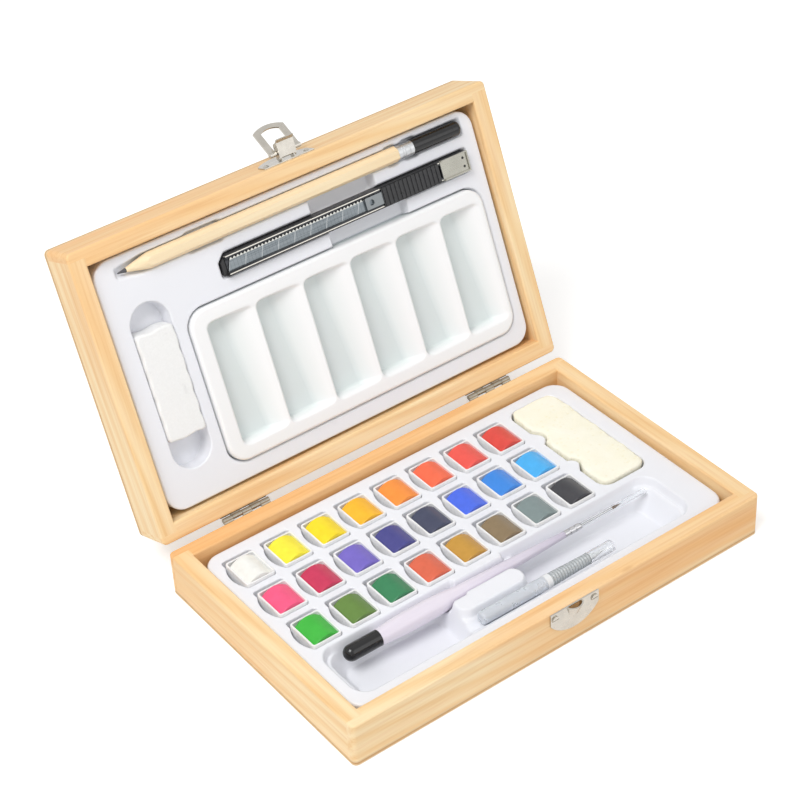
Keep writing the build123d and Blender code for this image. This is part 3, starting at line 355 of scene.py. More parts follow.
class Finish:
    """Node material with short calls for its nodes."""

    def __init__(self, name, **sockets):
        self.material = bpy.data.materials.new(name)
        self.material.use_nodes = True
        self.tree = self.material.node_tree
        self.shader = self.tree.nodes["Principled BSDF"]
        for key, value in sockets.items():
            self.shader.inputs[key.replace("_", " ")].default_value = value
        self.place = self.node("TexCoord").outputs["Object"]

    def node(self, kind, inputs=None, **settings):
        """New node; each input is a value or another node's output."""
        made = self.tree.nodes.new("ShaderNode" + kind)
        for key, value in settings.items():
            setattr(made, key, value)
        for key, value in (inputs or {}).items():
            if isinstance(value, bpy.types.NodeSocket):
                self.tree.links.new(value, made.inputs[key])
            else:
                made.inputs[key].default_value = value
        return made

    def stretched(self, scale, turn=0.0, shift=(0, 0, 0)):
        """Coordinates turned about X back into the lid's frame, shifted and scaled."""
        place = self.place
        if turn:
            place = self.node("VectorRotate", {"Vector": place, "Center": HINGE * MM, "Angle": turn},
                              rotation_type="X_AXIS").outputs[0]
        return self.node("Mapping", {"Vector": place, "Location": shift, "Scale": scale}).outputs[0]

    def lid_place(self):
        """X, Y and Z of the lid's frame, in millimetres."""
        turned = self.node("VectorRotate", {"Vector": self.place, "Center": HINGE * MM, "Angle": LID_TURN},
                           rotation_type="X_AXIS").outputs[0]
        flat = self.node("Mapping", {"Vector": turned, "Scale": (1 / MM, 1 / MM, 1 / MM),
                                     "Location": (0, -2 * HINGE.y, RIM_GAP / 2 - HINGE.z)}).outputs[0]
        return self.node("SeparateXYZ", {"Vector": flat}).outputs

    def noise(self, vector, scale, detail=3.0, rough=0.5, distortion=0.0):
        """Value of a noise at a scale."""
        return self.node("TexNoise", {"Vector": vector, "Scale": scale, "Detail": detail,
                                      "Roughness": rough, "Distortion": distortion}).outputs["Fac"]

    def cells(self, vector, scale):
        """Distance to the nearest of scattered points."""
        made = self.node("TexVoronoi", {"Vector": vector, "Scale": scale, "Randomness": 1.0})
        return made.outputs["Distance"]

    def axis(self, letter):
        """One coordinate of the object's own place, in metres."""
        return self.node("SeparateXYZ", {"Vector": self.place}).outputs[letter]

    def ramp(self, value, *stops, mode="LINEAR"):
        """Colour from a value through (position, colour) stops."""
        made = self.node("ValToRGB", {"Fac": value})
        made.color_ramp.interpolation = mode
        elements = made.color_ramp.elements
        while len(elements) < len(stops):
            elements.new(0.5)
        for element, (position, colour) in zip(elements, stops):
            element.position = position
            element.color = colour
        return made.outputs["Color"]

    def mix(self, amount, a, b, blend="MIX"):
        """Two colours mixed."""
        made = self.node("Mix", data_type="RGBA", blend_type=blend)
        for socket, value in ((0, amount), (6, a), (7, b)):
            if isinstance(value, bpy.types.NodeSocket):
                self.tree.links.new(value, made.inputs[socket])
            else:
                made.inputs[socket].default_value = value
        return made.outputs[2]

    def maths(self, operation, a, b=0.0, clamp=False):
        """One sum on values."""
        return self.node("Math", {0: a, 1: b}, operation=operation, use_clamp=clamp).outputs[0]

    def span(self, value, low, high, to_low, to_high):
        """A value carried from one range to another."""
        return self.node("MapRange", {"Value": value, "From Min": low, "From Max": high,
                                      "To Min": to_low, "To Max": to_high}).outputs[0]

    def spread(self, value, to_low, to_high):
        """The middle of a noise carried to a range."""
        return self.span(value, 0.3, 0.7, to_low, to_high)

    def colour(self, socket):
        """Sets the base colour."""
        self.tree.links.new(socket, self.shader.inputs["Base Color"])

    def rough(self, socket):
        """Sets the roughness."""
        self.tree.links.new(socket, self.shader.inputs["Roughness"])

    def bump(self, height, distance, strength=1.0, over=None):
        """Relief of a height in metres, on top of another relief if given."""
        inputs = {"Height": height, "Distance": distance, "Strength": strength}
        if over is not None:
            inputs["Normal"] = over
        out = self.node("Bump", inputs).outputs[0]
        self.tree.links.new(out, self.shader.inputs["Normal"])
        return out


def wood(name, grain, turn=0.0, shift=(0, 0, 0)):
    """Lightly varnished pine: faint growth lines and fibres, warm drifts and streaks, and a rare knot."""
    f = Finish(name, Roughness=0.5, Specular_IOR_Level=0.3)
    along_x = grain == "X"

    def placed(along, across):
        return f.stretched((along, across, across) if along_x else (across, along, across), turn, shift)

    drift = f.noise(placed(5, 24), 1.0, 2.0)
    warp = f.noise(placed(2.2, 60), 1.0, 3.0, 0.55, 0.4)
    rings = f.node("TexWave", {"Vector": placed(1.3, 17), "Scale": 4.6, "Distortion": 4.0, "Detail": 2.0,
                               "Detail Scale": 1.1, "Detail Roughness": 0.5},
                   wave_type="BANDS", bands_direction="DIAGONAL", wave_profile="SIN").outputs["Fac"]
    growth = f.maths("ADD", f.maths("MULTIPLY", rings, 0.4), f.maths("MULTIPLY", warp, 0.7))
    tone = f.ramp(growth, (0.2, linear(255, 231, 190)), (0.5, linear(252, 224, 177)),
                  (0.75, linear(248, 213, 160)), (0.95, linear(239, 195, 136)))
    tone = f.mix(f.span(drift, 0.42, 0.66, 0.0, 0.85), tone, linear(247, 200, 142))
    flame = f.noise(placed(3.5, 42), 1.0, 3.0, 0.5, 0.5)
    tone = f.mix(f.span(flame, 0.56, 0.72, 0.0, 0.65), tone, linear(243, 180, 112))
    fine = f.noise(placed(22, 700), 1.0, 2.0, 0.6)
    tone = f.mix(f.span(fine, 0.45, 0.75, 0.0, 0.3), tone, linear(226, 188, 146), "MULTIPLY")
    knots = f.cells(placed(7, 13), 1.0)
    tone = f.mix(f.span(knots, 0.02, 0.055, 0.75, 0.0), tone, linear(176, 112, 62))
    f.colour(tone)
    f.rough(f.span(fine, 0.2, 0.8, 0.42, 0.58))
    f.bump(fine, 0.00006, 0.5)
    return f.material


def plywood(name, level, thickness, turn=0.0):
    """Three plies: pale veneers and a darker core, seen on the edges."""
    f = Finish(name, Roughness=0.6, Specular_IOR_Level=0.3)
    flat = f.stretched((1, 1, 1), turn)
    z = f.node("SeparateXYZ", {"Vector": flat}).outputs["Z"]
    ply = f.span(z, level * MM, (level + thickness) * MM, 0.0, 1.0)
    core = f.ramp(ply, (0.0, linear(240, 214, 172)), (0.34, linear(214, 170, 118)),
                  (0.66, linear(240, 214, 172)), mode="CONSTANT")
    fibre = f.noise(f.stretched((14, 260, 900), turn), 1.0, 3.0, 0.6)
    f.colour(f.mix(f.span(fibre, 0.3, 0.75, 0.0, 0.35), core, linear(205, 160, 110), "MULTIPLY"))
    f.bump(fibre, 0.00005, 0.5)
    return f.material


def formed_sheet(name, colour, rough=0.3):
    """Thin white plastic drawn over a mould: even, faintly uneven in its gloss."""
    f = Finish(name, Roughness=rough, Specular_IOR_Level=0.42)
    cloud = f.noise(f.place, 60.0, 2.0)
    grain = f.noise(f.place, 1400.0, 2.0)
    f.colour(f.mix(f.spread(cloud, 0.0, 0.35), colour, shaded(colour, 0.97)))
    f.rough(f.spread(cloud, rough - 0.02, rough + 0.03))
    f.bump(grain, 0.000008, 0.25)
    return f.material


def palette_sheet(name):
    """White moulded plastic, with painted shade that greys its deep wells."""
    f = Finish(name, Specular_IOR_Level=0.42)
    cloud = f.noise(f.place, 60.0, 2.0)
    # Painted shade: the colour greys with the depth of the wells.
    depth = f.span(f.lid_place()["Z"], PALETTE_TOP - WELL_DEPTH, PALETTE_TOP - 1.5, 0.0, 1.0)
    f.colour(f.ramp(depth, (0.0, linear(222, 229, 228)), (0.3, linear(236, 240, 239)),
                    (1.0, linear(249, 249, 249))))
    f.rough(f.spread(cloud, 0.3, 0.315))
    return f.material


def paint(name, colour):
    """Dried cake of paint: satin, slightly uneven in colour and surface."""
    f = Finish(name, Roughness=0.42, Specular_IOR_Level=0.45)
    cloud = f.noise(f.place, 240.0, 4.0, 0.6)
    grit = f.noise(f.place, 2600.0, 3.0, 0.65)
    pale = tuple(min(1.0, c * 1.03 + 0.004) for c in colour[:3]) + (1.0,)
    tone = f.mix(f.spread(cloud, 0.0, 1.0), shaded(colour, 0.93), pale)
    f.colour(tone)
    f.rough(f.spread(grit, 0.3, 0.44))
    f.bump(grit, 0.00002, 0.3, over=f.bump(cloud, 0.0001, 0.3))
    return f.material


def foam(name):
    """Cellulose sponge: cream, with small open pores darkened by painted shade."""
    f = Finish(name, Roughness=0.95, Specular_IOR_Level=0.1)
    pores = f.cells(f.place, 900.0)
    holes = f.cells(f.place, 330.0)
    cloud = f.noise(f.place, 90.0, 3.0)
    tone = f.mix(f.spread(cloud, 0.0, 0.6), linear(255, 252, 236), linear(252, 247, 222))
    # Painted shade inside the pores, where the relief is lowest.
    f.colour(f.mix(f.span(holes, 0.05, 0.3, 0.22, 0.0), tone, linear(236, 224, 178), "MULTIPLY"))
    f.bump(pores, 0.0003, 0.25, over=f.bump(f.span(holes, 0.0, 0.4, 0.0, 1.0), 0.0004, 0.25))
    return f.material


def moulded(name, colour, rough=0.35, scratch=0.25):
    """Moulded plastic with faint handling marks."""
    f = Finish(name, Specular_IOR_Level=0.5)
    marks = f.noise(f.place, 700.0, 4.0, 0.6)
    cloud = f.noise(f.place, 130.0, 2.0)
    f.colour(f.mix(f.spread(cloud, 0.0, 0.5), colour, shaded(colour, 0.9)))
    f.rough(f.spread(marks, rough - 0.06, rough + 0.1))
    f.bump(marks, 0.00002, scratch)
    return f.material


def metal(name, colour, rough=0.2, brushed=None):
    """Plated or bare steel; brushed gives the direction of the drawn marks."""
    f = Finish(name, Metallic=1.0)
    stretch = {None: (300, 300, 300), "X": (30, 2200, 2200), "Y": (2200, 30, 2200)}[brushed]
    marks = f.noise(f.stretched(stretch), 1.0, 3.0, 0.6)
    cloud = f.noise(f.place, 160.0, 3.0)
    f.colour(f.mix(f.span(cloud, 0.35, 0.65, 0.0, 0.6), colour, shaded(colour, 0.82)))
    f.rough(f.spread(marks, rough * 0.7, rough * 1.5))
    f.bump(marks, 0.00001, 0.3 if brushed else 0.12)
    return f.material


def knife_channel_steel(name):
    """Plated steel channel, dark as a painted reflection of dark surroundings, with painted highlights
    along its outer edges.
    """
    f = Finish(name, Metallic=1.0)
    across = f.maths("ABSOLUTE", f.maths("SUBTRACT", f.lid_place()["Y"], KNIFE_Y))
    marks = f.noise(f.stretched((60, 900, 900)), 1.0, 3.0, 0.6)
    # Dark base colour: painted reflection of dark surroundings in the plated steel.
    dark = f.mix(f.spread(marks, 0.0, 1.0), linear(46, 47, 50), linear(74, 75, 78))
    # Painted highlight: a bright line along each outer edge of the channel.
    rubbed = f.span(across, KNIFE_HIGHLIGHT_EDGE - 0.1, KNIFE_HIGHLIGHT_EDGE + 0.1, 0.0, 1.0)
    f.colour(f.mix(rubbed, dark, linear(226, 222, 212)))
    f.rough(f.spread(marks, 0.2, 0.36))
    f.bump(marks, 0.00001, 0.3)
    return f.material


def blade_steel(name):
    """Grey blade: slanted score lines, a bright ground edge and a row of teeth along its back, drawn as
    dark zigzags of painted shadow.
    """
    f = Finish(name, Metallic=1.0)
    place = f.lid_place()
    across = f.maths("SUBTRACT", place["Y"], KNIFE_Y)
    along = f.maths("ADD", place["X"], f.maths("MULTIPLY", across, SCORE_SLANT))
    score = f.maths("PINGPONG", f.maths("SUBTRACT", along, SCORE_START), SCORE_PITCH / 2)
    marks = f.noise(f.stretched((40, 1500, 1500)), 1.0, 3.0, 0.6)
    grey = f.mix(f.spread(marks, 0.0, 1.0), linear(112, 119, 124), linear(140, 146, 150))
    tone = f.mix(f.span(score, 0.12, 0.26, 0.6, 0.0), grey, linear(205, 208, 208))
    tone = f.mix(f.span(across, -3.6, -3.35, 1.0, 0.0), tone, linear(222, 222, 218))
    tone = f.mix(f.span(across, RACK[0] - 0.1, RACK[0] + 0.1, 0.0, 1.0), tone, linear(206, 206, 200))
    # Row of teeth: the dark zigzags are painted shadow between teeth that are not modelled.
    tooth = f.maths("MULTIPLY", f.maths("PINGPONG", place["X"], RACK_PITCH / 2), 2 / RACK_PITCH)
    over = f.maths("SUBTRACT", f.span(across, *RACK, 0.0, 1.0), tooth)
    f.colour(f.mix(f.span(over, -0.12, 0.12, 0.0, 1.0), tone, linear(34, 34, 36)))
    f.rough(f.spread(marks, 0.22, 0.38))
    f.bump(marks, 0.00001, 0.3)
    return f.material


def slider_finish(name):
    """Black moulded thumb slide with its steel tongue."""
    f = Finish(name, Specular_IOR_Level=0.5)
    tongue = f.span(f.lid_place()["X"], SLIDER_X - 0.05, SLIDER_X + 0.05, 1.0, 0.0)
    marks = f.noise(f.place, 700.0, 4.0, 0.6)
    black = f.mix(f.spread(marks, 0.0, 1.0), linear(30, 30, 32), linear(48, 48, 50))
    f.colour(f.mix(tongue, black, linear(136, 140, 142)))
    f.tree.links.new(tongue, f.shader.inputs["Metallic"])
    f.rough(f.spread(marks, 0.26, 0.4))
    f.bump(marks, 0.00002, 0.25)
    return f.material


def clear(name, tint, rough=0.08):
    """Clear plastic tube."""
    f = Finish(name, Transmission_Weight=1.0, IOR=1.46)
    f.shader.inputs["Base Color"].default_value = tint
    cloud = f.noise(f.place, 220.0, 3.0)
    f.rough(f.spread(cloud, rough * 0.6, rough * 1.6))
    return f.material


def lacquer(name, near, far, x0, x1):
    """Smooth lacquer over wood, one colour at x0 and another at x1."""
    f = Finish(name, Coat_Weight=0.6, Coat_Roughness=0.08)
    cloud = f.noise(f.stretched((20, 260, 260)), 1.0, 3.0)
    tone = f.ramp(f.span(f.axis("X"), x0 * MM, x1 * MM, 0.0, 1.0), (0.0, near), (0.45, near), (1.0, far))
    f.colour(f.mix(f.spread(cloud, 0.0, 0.3), tone, linear(214, 206, 220), "MULTIPLY"))
    f.rough(f.spread(cloud, 0.28, 0.4))
    return f.material


def milky(name, colour, through, rough, rib=0.0):
    """Frosted plastic that lets some light through, with ribs of a pitch in millimetres if given."""
    f = Finish(name, IOR=1.46, Transmission_Weight=through)
    cloud = f.noise(f.place, 160.0, 3.0)
    f.colour(f.mix(f.spread(cloud, 0.0, 1.0), colour, shaded(colour, 0.94)))
    f.rough(f.spread(cloud, rough * 0.85, rough * 1.15))
    if rib:
        wave = f.maths("SINE", f.maths("MULTIPLY", f.axis("X"), tau / (rib * MM)))
        f.bump(wave, 0.00022, 0.8)
    return f.material


def vinyl(name):
    """Eraser: matt white, rubbed, with a few grey smudges."""
    f = Finish(name, Specular_IOR_Level=0.25)
    smudge = f.noise(f.place, 75.0, 5.0, 0.6, 0.4)
    pits = f.noise(f.place, 900.0, 4.0, 0.7)
    tone = f.ramp(smudge, (0.0, linear(250, 250, 249)), (0.6, linear(247, 247, 246)),
                  (0.75, linear(226, 226, 226)))
    f.colour(f.mix(f.span(pits, 0.35, 0.75, 0.0, 0.3), tone, linear(235, 235, 234), "MULTIPLY"))
    f.rough(f.spread(pits, 0.6, 0.85))
    f.bump(pits, 0.00012, 0.5, over=f.bump(smudge, 0.0008, 0.3))
    return f.material


def bare_wood(name, colour, deep):
    """Fine-grained pencil wood along X."""
    f = Finish(name, Specular_IOR_Level=0.3)
    fibres = f.noise(f.stretched((18, 600, 600)), 1.0, 3.0, 0.6)
    streaks = f.noise(f.stretched((6, 130, 130)), 1.0, 3.0, 0.6)
    tone = f.mix(f.spread(streaks, 0.0, 1.0), colour, deep)
    f.colour(f.mix(f.span(fibres, 0.4, 0.75, 0.0, 0.2), tone, linear(214, 176, 134), "MULTIPLY"))
    f.rough(f.spread(fibres, 0.45, 0.65))
    f.bump(fibres, 0.00004, 0.4)
    return f.material


# ======================== formed trays
def pan_outline(x, y):
    """Pan pocket about its pan's centre: a rounded rectangle with a lifting gap on its left."""
    left = -PAN_W / 2 - PAN_GAP
    bend = (LENS_CHORD ** 2 / 4 + LENS_BULGE ** 2) / (2 * LENS_BULGE)
    well = sd_box(x, y, left, PAN_W / 2 + PAN_GAP, -PAN_L / 2 - PAN_GAP, PAN_L / 2 + PAN_RELIEF, PAN_R)
    lens = np.maximum.reduce([np.hypot(x - left + LENS_BULGE - bend, y) - bend, x, np.abs(y) - PAN_L / 2])
    return np.minimum(well, lens)


def sponge_outline(x, y, gap=0.0):
    """Sponge from above: its left side bulges between the ends of two ridges."""
    x0, x1, y0, y1 = SPONGE
    shape = sd_box(x, y, x0 - gap, x1 + gap, y0 - gap, y1 + gap, 6.0 + gap)
    if not gap:
        shape = shape + 0.35 + 0.3 * np.sin(0.42 * x + 1.0) * np.cos(0.31 * y)
        shape = shape + 0.16 * np.sin(0.9 * y + 0.5 * x)
    for ridge_y in RIDGE_Y:
        ridge = np.hypot(x - (x0 + RIDGE_IN - RIDGE_R), y - ridge_y) - RIDGE_R + gap
        shape = np.maximum(shape, -ridge)
    return shape


def well_depth(x, y, top, floor):
    """Height of a trough's well, whose walls slope from a top rectangle to a floor rectangle."""
    low, high = np.zeros_like(x), np.ones_like(x)
    top, floor = np.array(top), np.array(floor)
    for _ in range(16):
        t = (low + high) / 2
        box = [a + (b - a) * t for a, b in zip(top, floor)]
        inside = sd_box(x, y, *box, TROUGH_R + (TROUGH_FOOT_R - TROUGH_R) * t) < 0
        low, high = np.where(inside, t, low), np.where(inside, high, t)
    return -TROUGH_DEPTH * low


def groove(x, y, x0, x1, y0, z0, radius):
    """Height of a round-bottomed groove along X."""
    across = np.abs(y - y0)
    deep = z0 - np.sqrt(np.maximum(radius ** 2 - across ** 2, 0))
    return np.where((across < radius) & (x > x0) & (x < x1), deep, 0.0)


def trough_height(x, y):
    """Brush trough: shelf, neck, island, two wells and the grooves of both brushes."""
    x0, x1, y0, y1 = TROUGH
    b0, b1 = BRIDGE
    shelf = sd_box(x, y, *TROUGH, TROUGH_R)
    neck_y = BRUSH_Y + 3.95
    shelf = np.maximum(shelf, -sd_box(x, y, NECK_X, b1, neck_y, y1 + 9, 1.2))
    shelf = np.maximum(shelf, -sd_box(x, y, b0, b1, *ISLAND, 5.2))
    height = np.where(shelf < 0, -SHELF_DEPTH, 0.0)
    left = well_depth(x, y, (x0, b0, y0, y1), (x0 + 9.0, b0 - 2.0, y0 + 4.2, y1 - 4.2))
    right = well_depth(x, y, (b1, x1, y0, y1), (b1 + 2.0, x1 - 9.0, y0 + 4.2, y1 - 4.2))
    cuts = [height, left, right,
            groove(x, y, b0 - 4.2, NECK_X, BRUSH_Y, BRUSH_Z, 5.3),
            groove(x, y, NECK_X, b1 + 4.2, BRUSH_Y, BRUSH_Z, 3.95),
            groove(x, y, b0 - 4.2, b1 + 4.2, WATER_Y, WATER_Z, 3.65)]
    return np.minimum.reduce(cuts)


def pan_rows():
    """Row name and pan centres of each row, from the CAD rows."""
    for row in ("front", "middle", "back"):
        low, high = (np.array(c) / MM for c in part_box(f"pan_cups_{row}_row"))
        xs = np.linspace(low[0] + PAN_W / 2, high[0] - PAN_W / 2, 8)
        yield row, [(x, (low[1] + high[1]) / 2) for x in xs], high[2]


PAN_ROWS = list(pan_rows())
ROW_Y = [row[1][0][1] for row in PAN_ROWS]
RIDGE_Y = [(a + b) / 2 + PAN_RELIEF / 2 for a, b in zip(ROW_Y, ROW_Y[1:])]


def base_tray(material):
    """The base's formed insert."""
    tray = Shape()
    outer = border(tray, lambda x, y: sd_box(x, y, -INSERT_X, INSERT_X, -INSERT_Y, INSERT_Y, INSERT_R),
                   (0, 0), 160, 1.4, BASE_SURFACE - 2.6)
    holes = []
    for _, places, _ in PAN_ROWS:
        for cx, cy in places:
            holes.append(pocket(tray, lambda x, y: pan_outline(x - cx, y - cy), (cx, cy), 84,
                                PAN_DEPTH, PAN_EDGE))
    holes.append(pocket(tray, lambda x, y: sponge_outline(x, y, SPONGE_GAP), SPONGE_MIDDLE, 220,
                        SPONGE_DEPTH + SPONGE_GAP))
    x0, x1, y0, y1 = TROUGH
    holes += free_form(tray, (x0 - 2.4, x1 + 2.4, y0 - 2.0, y1 + 1.25), trough_height, 0.5)
    tray.plate(outer, holes)
    return piece("base_tray", tray, "case_base", material, ["base_insert"],
                 level=BASE_SURFACE, closed=False)


def step_down(distance, depth):
    """Height inside an outline."""
    return np.where(distance < 0, -depth, 0.0)


def tool_area_height(x, y):
    """Lid tray: pencil slot, knife pocket, finger recesses and palette pocket."""
    level = PENCIL_Z - LID_SURFACE
    radius = np.interp(x, (-98.0, -84.0, 200.0), (2.3, 4.25, 4.25))
    across = np.abs(y - PENCIL_Y)
    slot_on = (across < radius) & (x > -98.0) & (x < 102.0)
    slot = np.where(slot_on, level - np.sqrt(np.maximum(radius ** 2 - across ** 2, 0)), 0.0)
    cuts = [slot]
    for notch_x, width in ((-50.0, 20.0), (59.5, 7.0), (70.5, 9.0)):
        notch = sd_box(x, y, notch_x - width / 2, notch_x + width / 2, PENCIL_Y - 4.85, PENCIL_Y + 4.9, 2.0)
        cuts.append(step_down(notch, 3.5))
    half = KNIFE_W / 2 + 0.35
    knife = sd_box(x, y, KNIFE_X[0] - 0.35, KNIFE_X[1] + 1.2, KNIFE_Y - half, KNIFE_Y + half, 0.8)
    corner = (KNIFE_X[0] + 3.4 - x + y - KNIFE_Y - half) / sqrt(2)
    cuts.append(step_down(np.maximum(knife, corner), 3.4))
    cuts.append(step_down(sd_box(x, y, 8.4, 46.0, KNIFE_Y + 4.2, PENCIL_Y - 2.0, 3.4), 5.5))
    cuts.append(step_down(sd_box(x, y, 14.6, 60.0, PALETTE[3] - 2.0, KNIFE_Y - 4.2, 3.4), 5.0))
    x0, x1, y0, y1 = PALETTE
    cuts.append(step_down(sd_box(x, y, x0 - 0.4, x1 + 0.4, y0 - 0.4, y1 + 0.4, PALETTE_R + 0.4), 6.8))
    return np.minimum.reduce(cuts)


def under_palette(x, y):
    """Inner part of the palette pocket, which the palette hides."""
    x0, x1, y0, y1 = PALETTE
    return sd_box(x, y, x0, x1, y0, y1, PALETTE_R) < -3.0


def lid_tray(material):
    """The lid's formed insert."""
    tray = Shape()
    outer = border(tray, lambda x, y: sd_box(x, y, -INSERT_X, INSERT_X, -INSERT_Y, INSERT_Y, INSERT_R),
                   (0, 0), 160, 1.0, 17.9)
    half = ERASER_W / 2 + 0.3
    y0, y1 = ERASER_POCKET

    def stadium(x, y):
        return sd_box(x, y, ERASER_X - half, ERASER_X + half, y0, y1, half - 0.01)

    eraser_hole = pocket(tray, stadium, (ERASER_X, (y0 + y1) / 2), 120,
                         ERASER_T - ERASER_PROUD + 0.2, draft=0.3)
    loops = free_form(tray, (-101.5, 106.5, -57.5, 62.0), tool_area_height, 0.5, covered=under_palette)
    tray.plate(outer, [eraser_hole] + loops)
    return piece("lid_tray", tray, "lid", material, ["lid_insert"],
                 lid=True, level=LID_SURFACE, closed=False)


def well_floor(x, y):
    """Palette wells: a steep left wall, a flat floor and a long slope up at the right."""
    heights = []
    for index in range(WELLS):
        start = WELL_X0 + index * WELL_PITCH
        stop = start + (WELL_LAST if index == WELLS - 1 else WELL_OPEN)
        plan = sd_box(x, y, start, stop, *WELL_Y, 3.0)
        foot = start + np.interp(y, WELL_Y, WELL_FLOOR)
        rise = np.clip((x - foot) / (stop - foot), 0.0, 1.0)
        wall = np.clip((x - start) / 0.9, 0.0, 1.0)
        heights.append(np.where(plan < 0, -WELL_DEPTH * np.minimum(wall, 1 - rise), 0.0))
    return np.minimum.reduce(heights)


def palette(material):
    """Mixing palette."""
    body = Shape()
    x0, x1, y0, y1 = PALETTE
    outer = border(body, lambda x, y: sd_box(x, y, x0, x1, y0, y1, PALETTE_R),
                   ((x0 + x1) / 2, (y0 + y1) / 2), 160, 1.6, PALETTE_H)
    area = (WELL_X0 - 2.0, x1 - 1.7, WELL_Y[0] - 2.0, WELL_Y[1] + 2.0)
    wells = free_form(body, area, well_floor, 0.5, 0.55)
    body.plate(outer, wells)
    return piece("mixing_palette", body, "lid", material, ["palette"],
                 lid=True, level=PALETTE_TOP, closed=False)


# ======================== paints
PAINTS = {
    "back": [("white", (245, 245, 240)), ("lemon", (255, 240, 60)), ("yellow", (255, 225, 30)),
             ("golden", (255, 190, 40)), ("orange", (255, 150, 60)), ("vermilion", (250, 110, 75)),
             ("red", (240, 90, 80)), ("deep_red", (225, 75, 65))],
    "middle": [("rose", (250, 90, 135)), ("crimson", (205, 50, 90)), ("violet", (120, 105, 200)),
               ("blue_violet", (70, 70, 140)), ("indigo", (65, 70, 95)), ("ultramarine", (75, 110, 235)),
               ("cobalt", (60, 140, 230)), ("sky", (75, 180, 245))],
    "front": [("bright_green", (60, 185, 60)), ("olive", (100, 135, 60)), ("dark_green", (50, 130, 85)),
              ("sienna", (225, 105, 75)), ("ochre", (200, 150, 60)), ("umber", (140, 120, 90)),
              ("grey", (130, 145, 145)), ("black", (60, 60, 65))],
}
CAKE_SIDE, CAKE_MIDDLE = -1.3, 1.9    # paint below the rim at its sides, above it in the middle
CAKE_BACK = 1.5                       # bare cup behind the cake


def rounded(half_x, half_y, r, z, cx, cy, steps=5):
    """Ring of a rounded rectangle, anticlockwise."""
    points = []
    for corner, (sx, sy) in enumerate(((1, 1), (-1, 1), (-1, -1), (1, -1))):
        for t in np.linspace(0, pi / 2, steps + 1):
            turn = corner * pi / 2 + t
            points.append((cx + sx * (half_x - r) + r * cos(turn),
                           cy + sy * (half_y - r) + r * sin(turn), z))
    return points


def pan_cup(shape, cx, cy, rim):
    """Cup with a rounded rim and thin walls."""
    w, l, wall, lip = PAN_W / 2, PAN_L / 2, PAN_WALL, 0.32
    bottom, floor = rim - 10.5, rim - 9.4
    loops = [rounded(w - 0.6, l - 0.6, PAN_R - 0.5, bottom, cx, cy),
             rounded(w, l, PAN_R, bottom + 0.6, cx, cy)]
    for t in np.linspace(0, pi / 2, 4):
        cut = lip * (1 - cos(t))
        loops.append(rounded(w - cut, l - cut, PAN_R - cut / 2, rim - lip * (1 - sin(t)), cx, cy))
    for t in np.linspace(0, pi / 2, 4):
        cut = wall - lip * (1 - sin(t))
        loops.append(rounded(w - cut, l - cut, PAN_R - 0.7, rim - lip * (1 - cos(t)), cx, cy))
    loops.append(rounded(w - wall, l - wall, PAN_R - 0.7, floor, cx, cy))
    shape.rings(loops, bottom=True, top=True)


def paint_cake(shape, cx, cy, rim, seed):
    """Arched cake: low at its sides, high along its middle, with an uneven front lip."""
    half_x = PAN_W / 2 - PAN_WALL - 0.05
    front, back = -PAN_L / 2 + PAN_WALL + 0.05, PAN_L / 2 - PAN_WALL - CAKE_BACK
    columns = [-1, -0.985, -0.94, -0.85, -0.7, -0.5, -0.25, 0, 0.25, 0.5, 0.7, 0.85, 0.94, 0.985, 1]
    rows = [0, 0.006, 0.02, 0.05, 0.12, 0.25, 0.4, 0.55, 0.7, 0.84, 0.94, 0.975, 0.993, 1]
    top = []
    for v in rows:
        line = []
        for u in columns:
            x, y = u * half_x, front + (back - front) * v
            arch = CAKE_MIDDLE + (CAKE_SIDE - CAKE_MIDDLE) * abs(u) ** 2.0
            wave = 0.1 * noise(Vector((x * 0.22 + seed, y * 0.2, seed)))
            edge = 0.3 * (max(0.0, 0.02 - v) / 0.02 + max(0.0, v - 0.975) / 0.025) ** 2
            lip = 0.25 * noise(Vector((x * 0.4, seed * 3.1, 0))) * max(0.0, 1 - v / 0.25)
            line.append((cx + x, cy + y, rim + arch + wave - edge + lip))
        top.append(shape.add(line))
    for a, b in zip(top, top[1:]):
        for i in range(len(a) - 1):
            shape.faces.append((a[i], a[i + 1], b[i + 1], b[i]))
    edge = top[0][:-1] + [line[-1] for line in top[:-1]] + top[-1][:0:-1] + [line[0] for line in top[:0:-1]]
    low = shape.add([(shape.points[i][0], shape.points[i][1], rim - 5.0) for i in edge])
    shape.bridge(low, edge)
    shape.faces.append(tuple(reversed(low)))


def pans(cup_material):
    """All cups and cakes."""
    for row, places, rim in PAN_ROWS:
        cups = Shape()
        for cx, cy in places:
            pan_cup(cups, cx, cy, rim)
        piece(f"pan_cups_{row}", cups, "case_base", cup_material, [f"pan_cups_{row}_row"])
        for index, ((cx, cy), (hue, colour)) in enumerate(zip(places, PAINTS[row])):
            cake = Shape()
            paint_cake(cake, cx, cy, rim, 7.3 * index + len(row))
            piece(f"paint_cake_{hue}", cake, "case_base",
                  paint(f"paint_{hue}", linear(*colour)), [f"paint_cakes_{row}_row"])


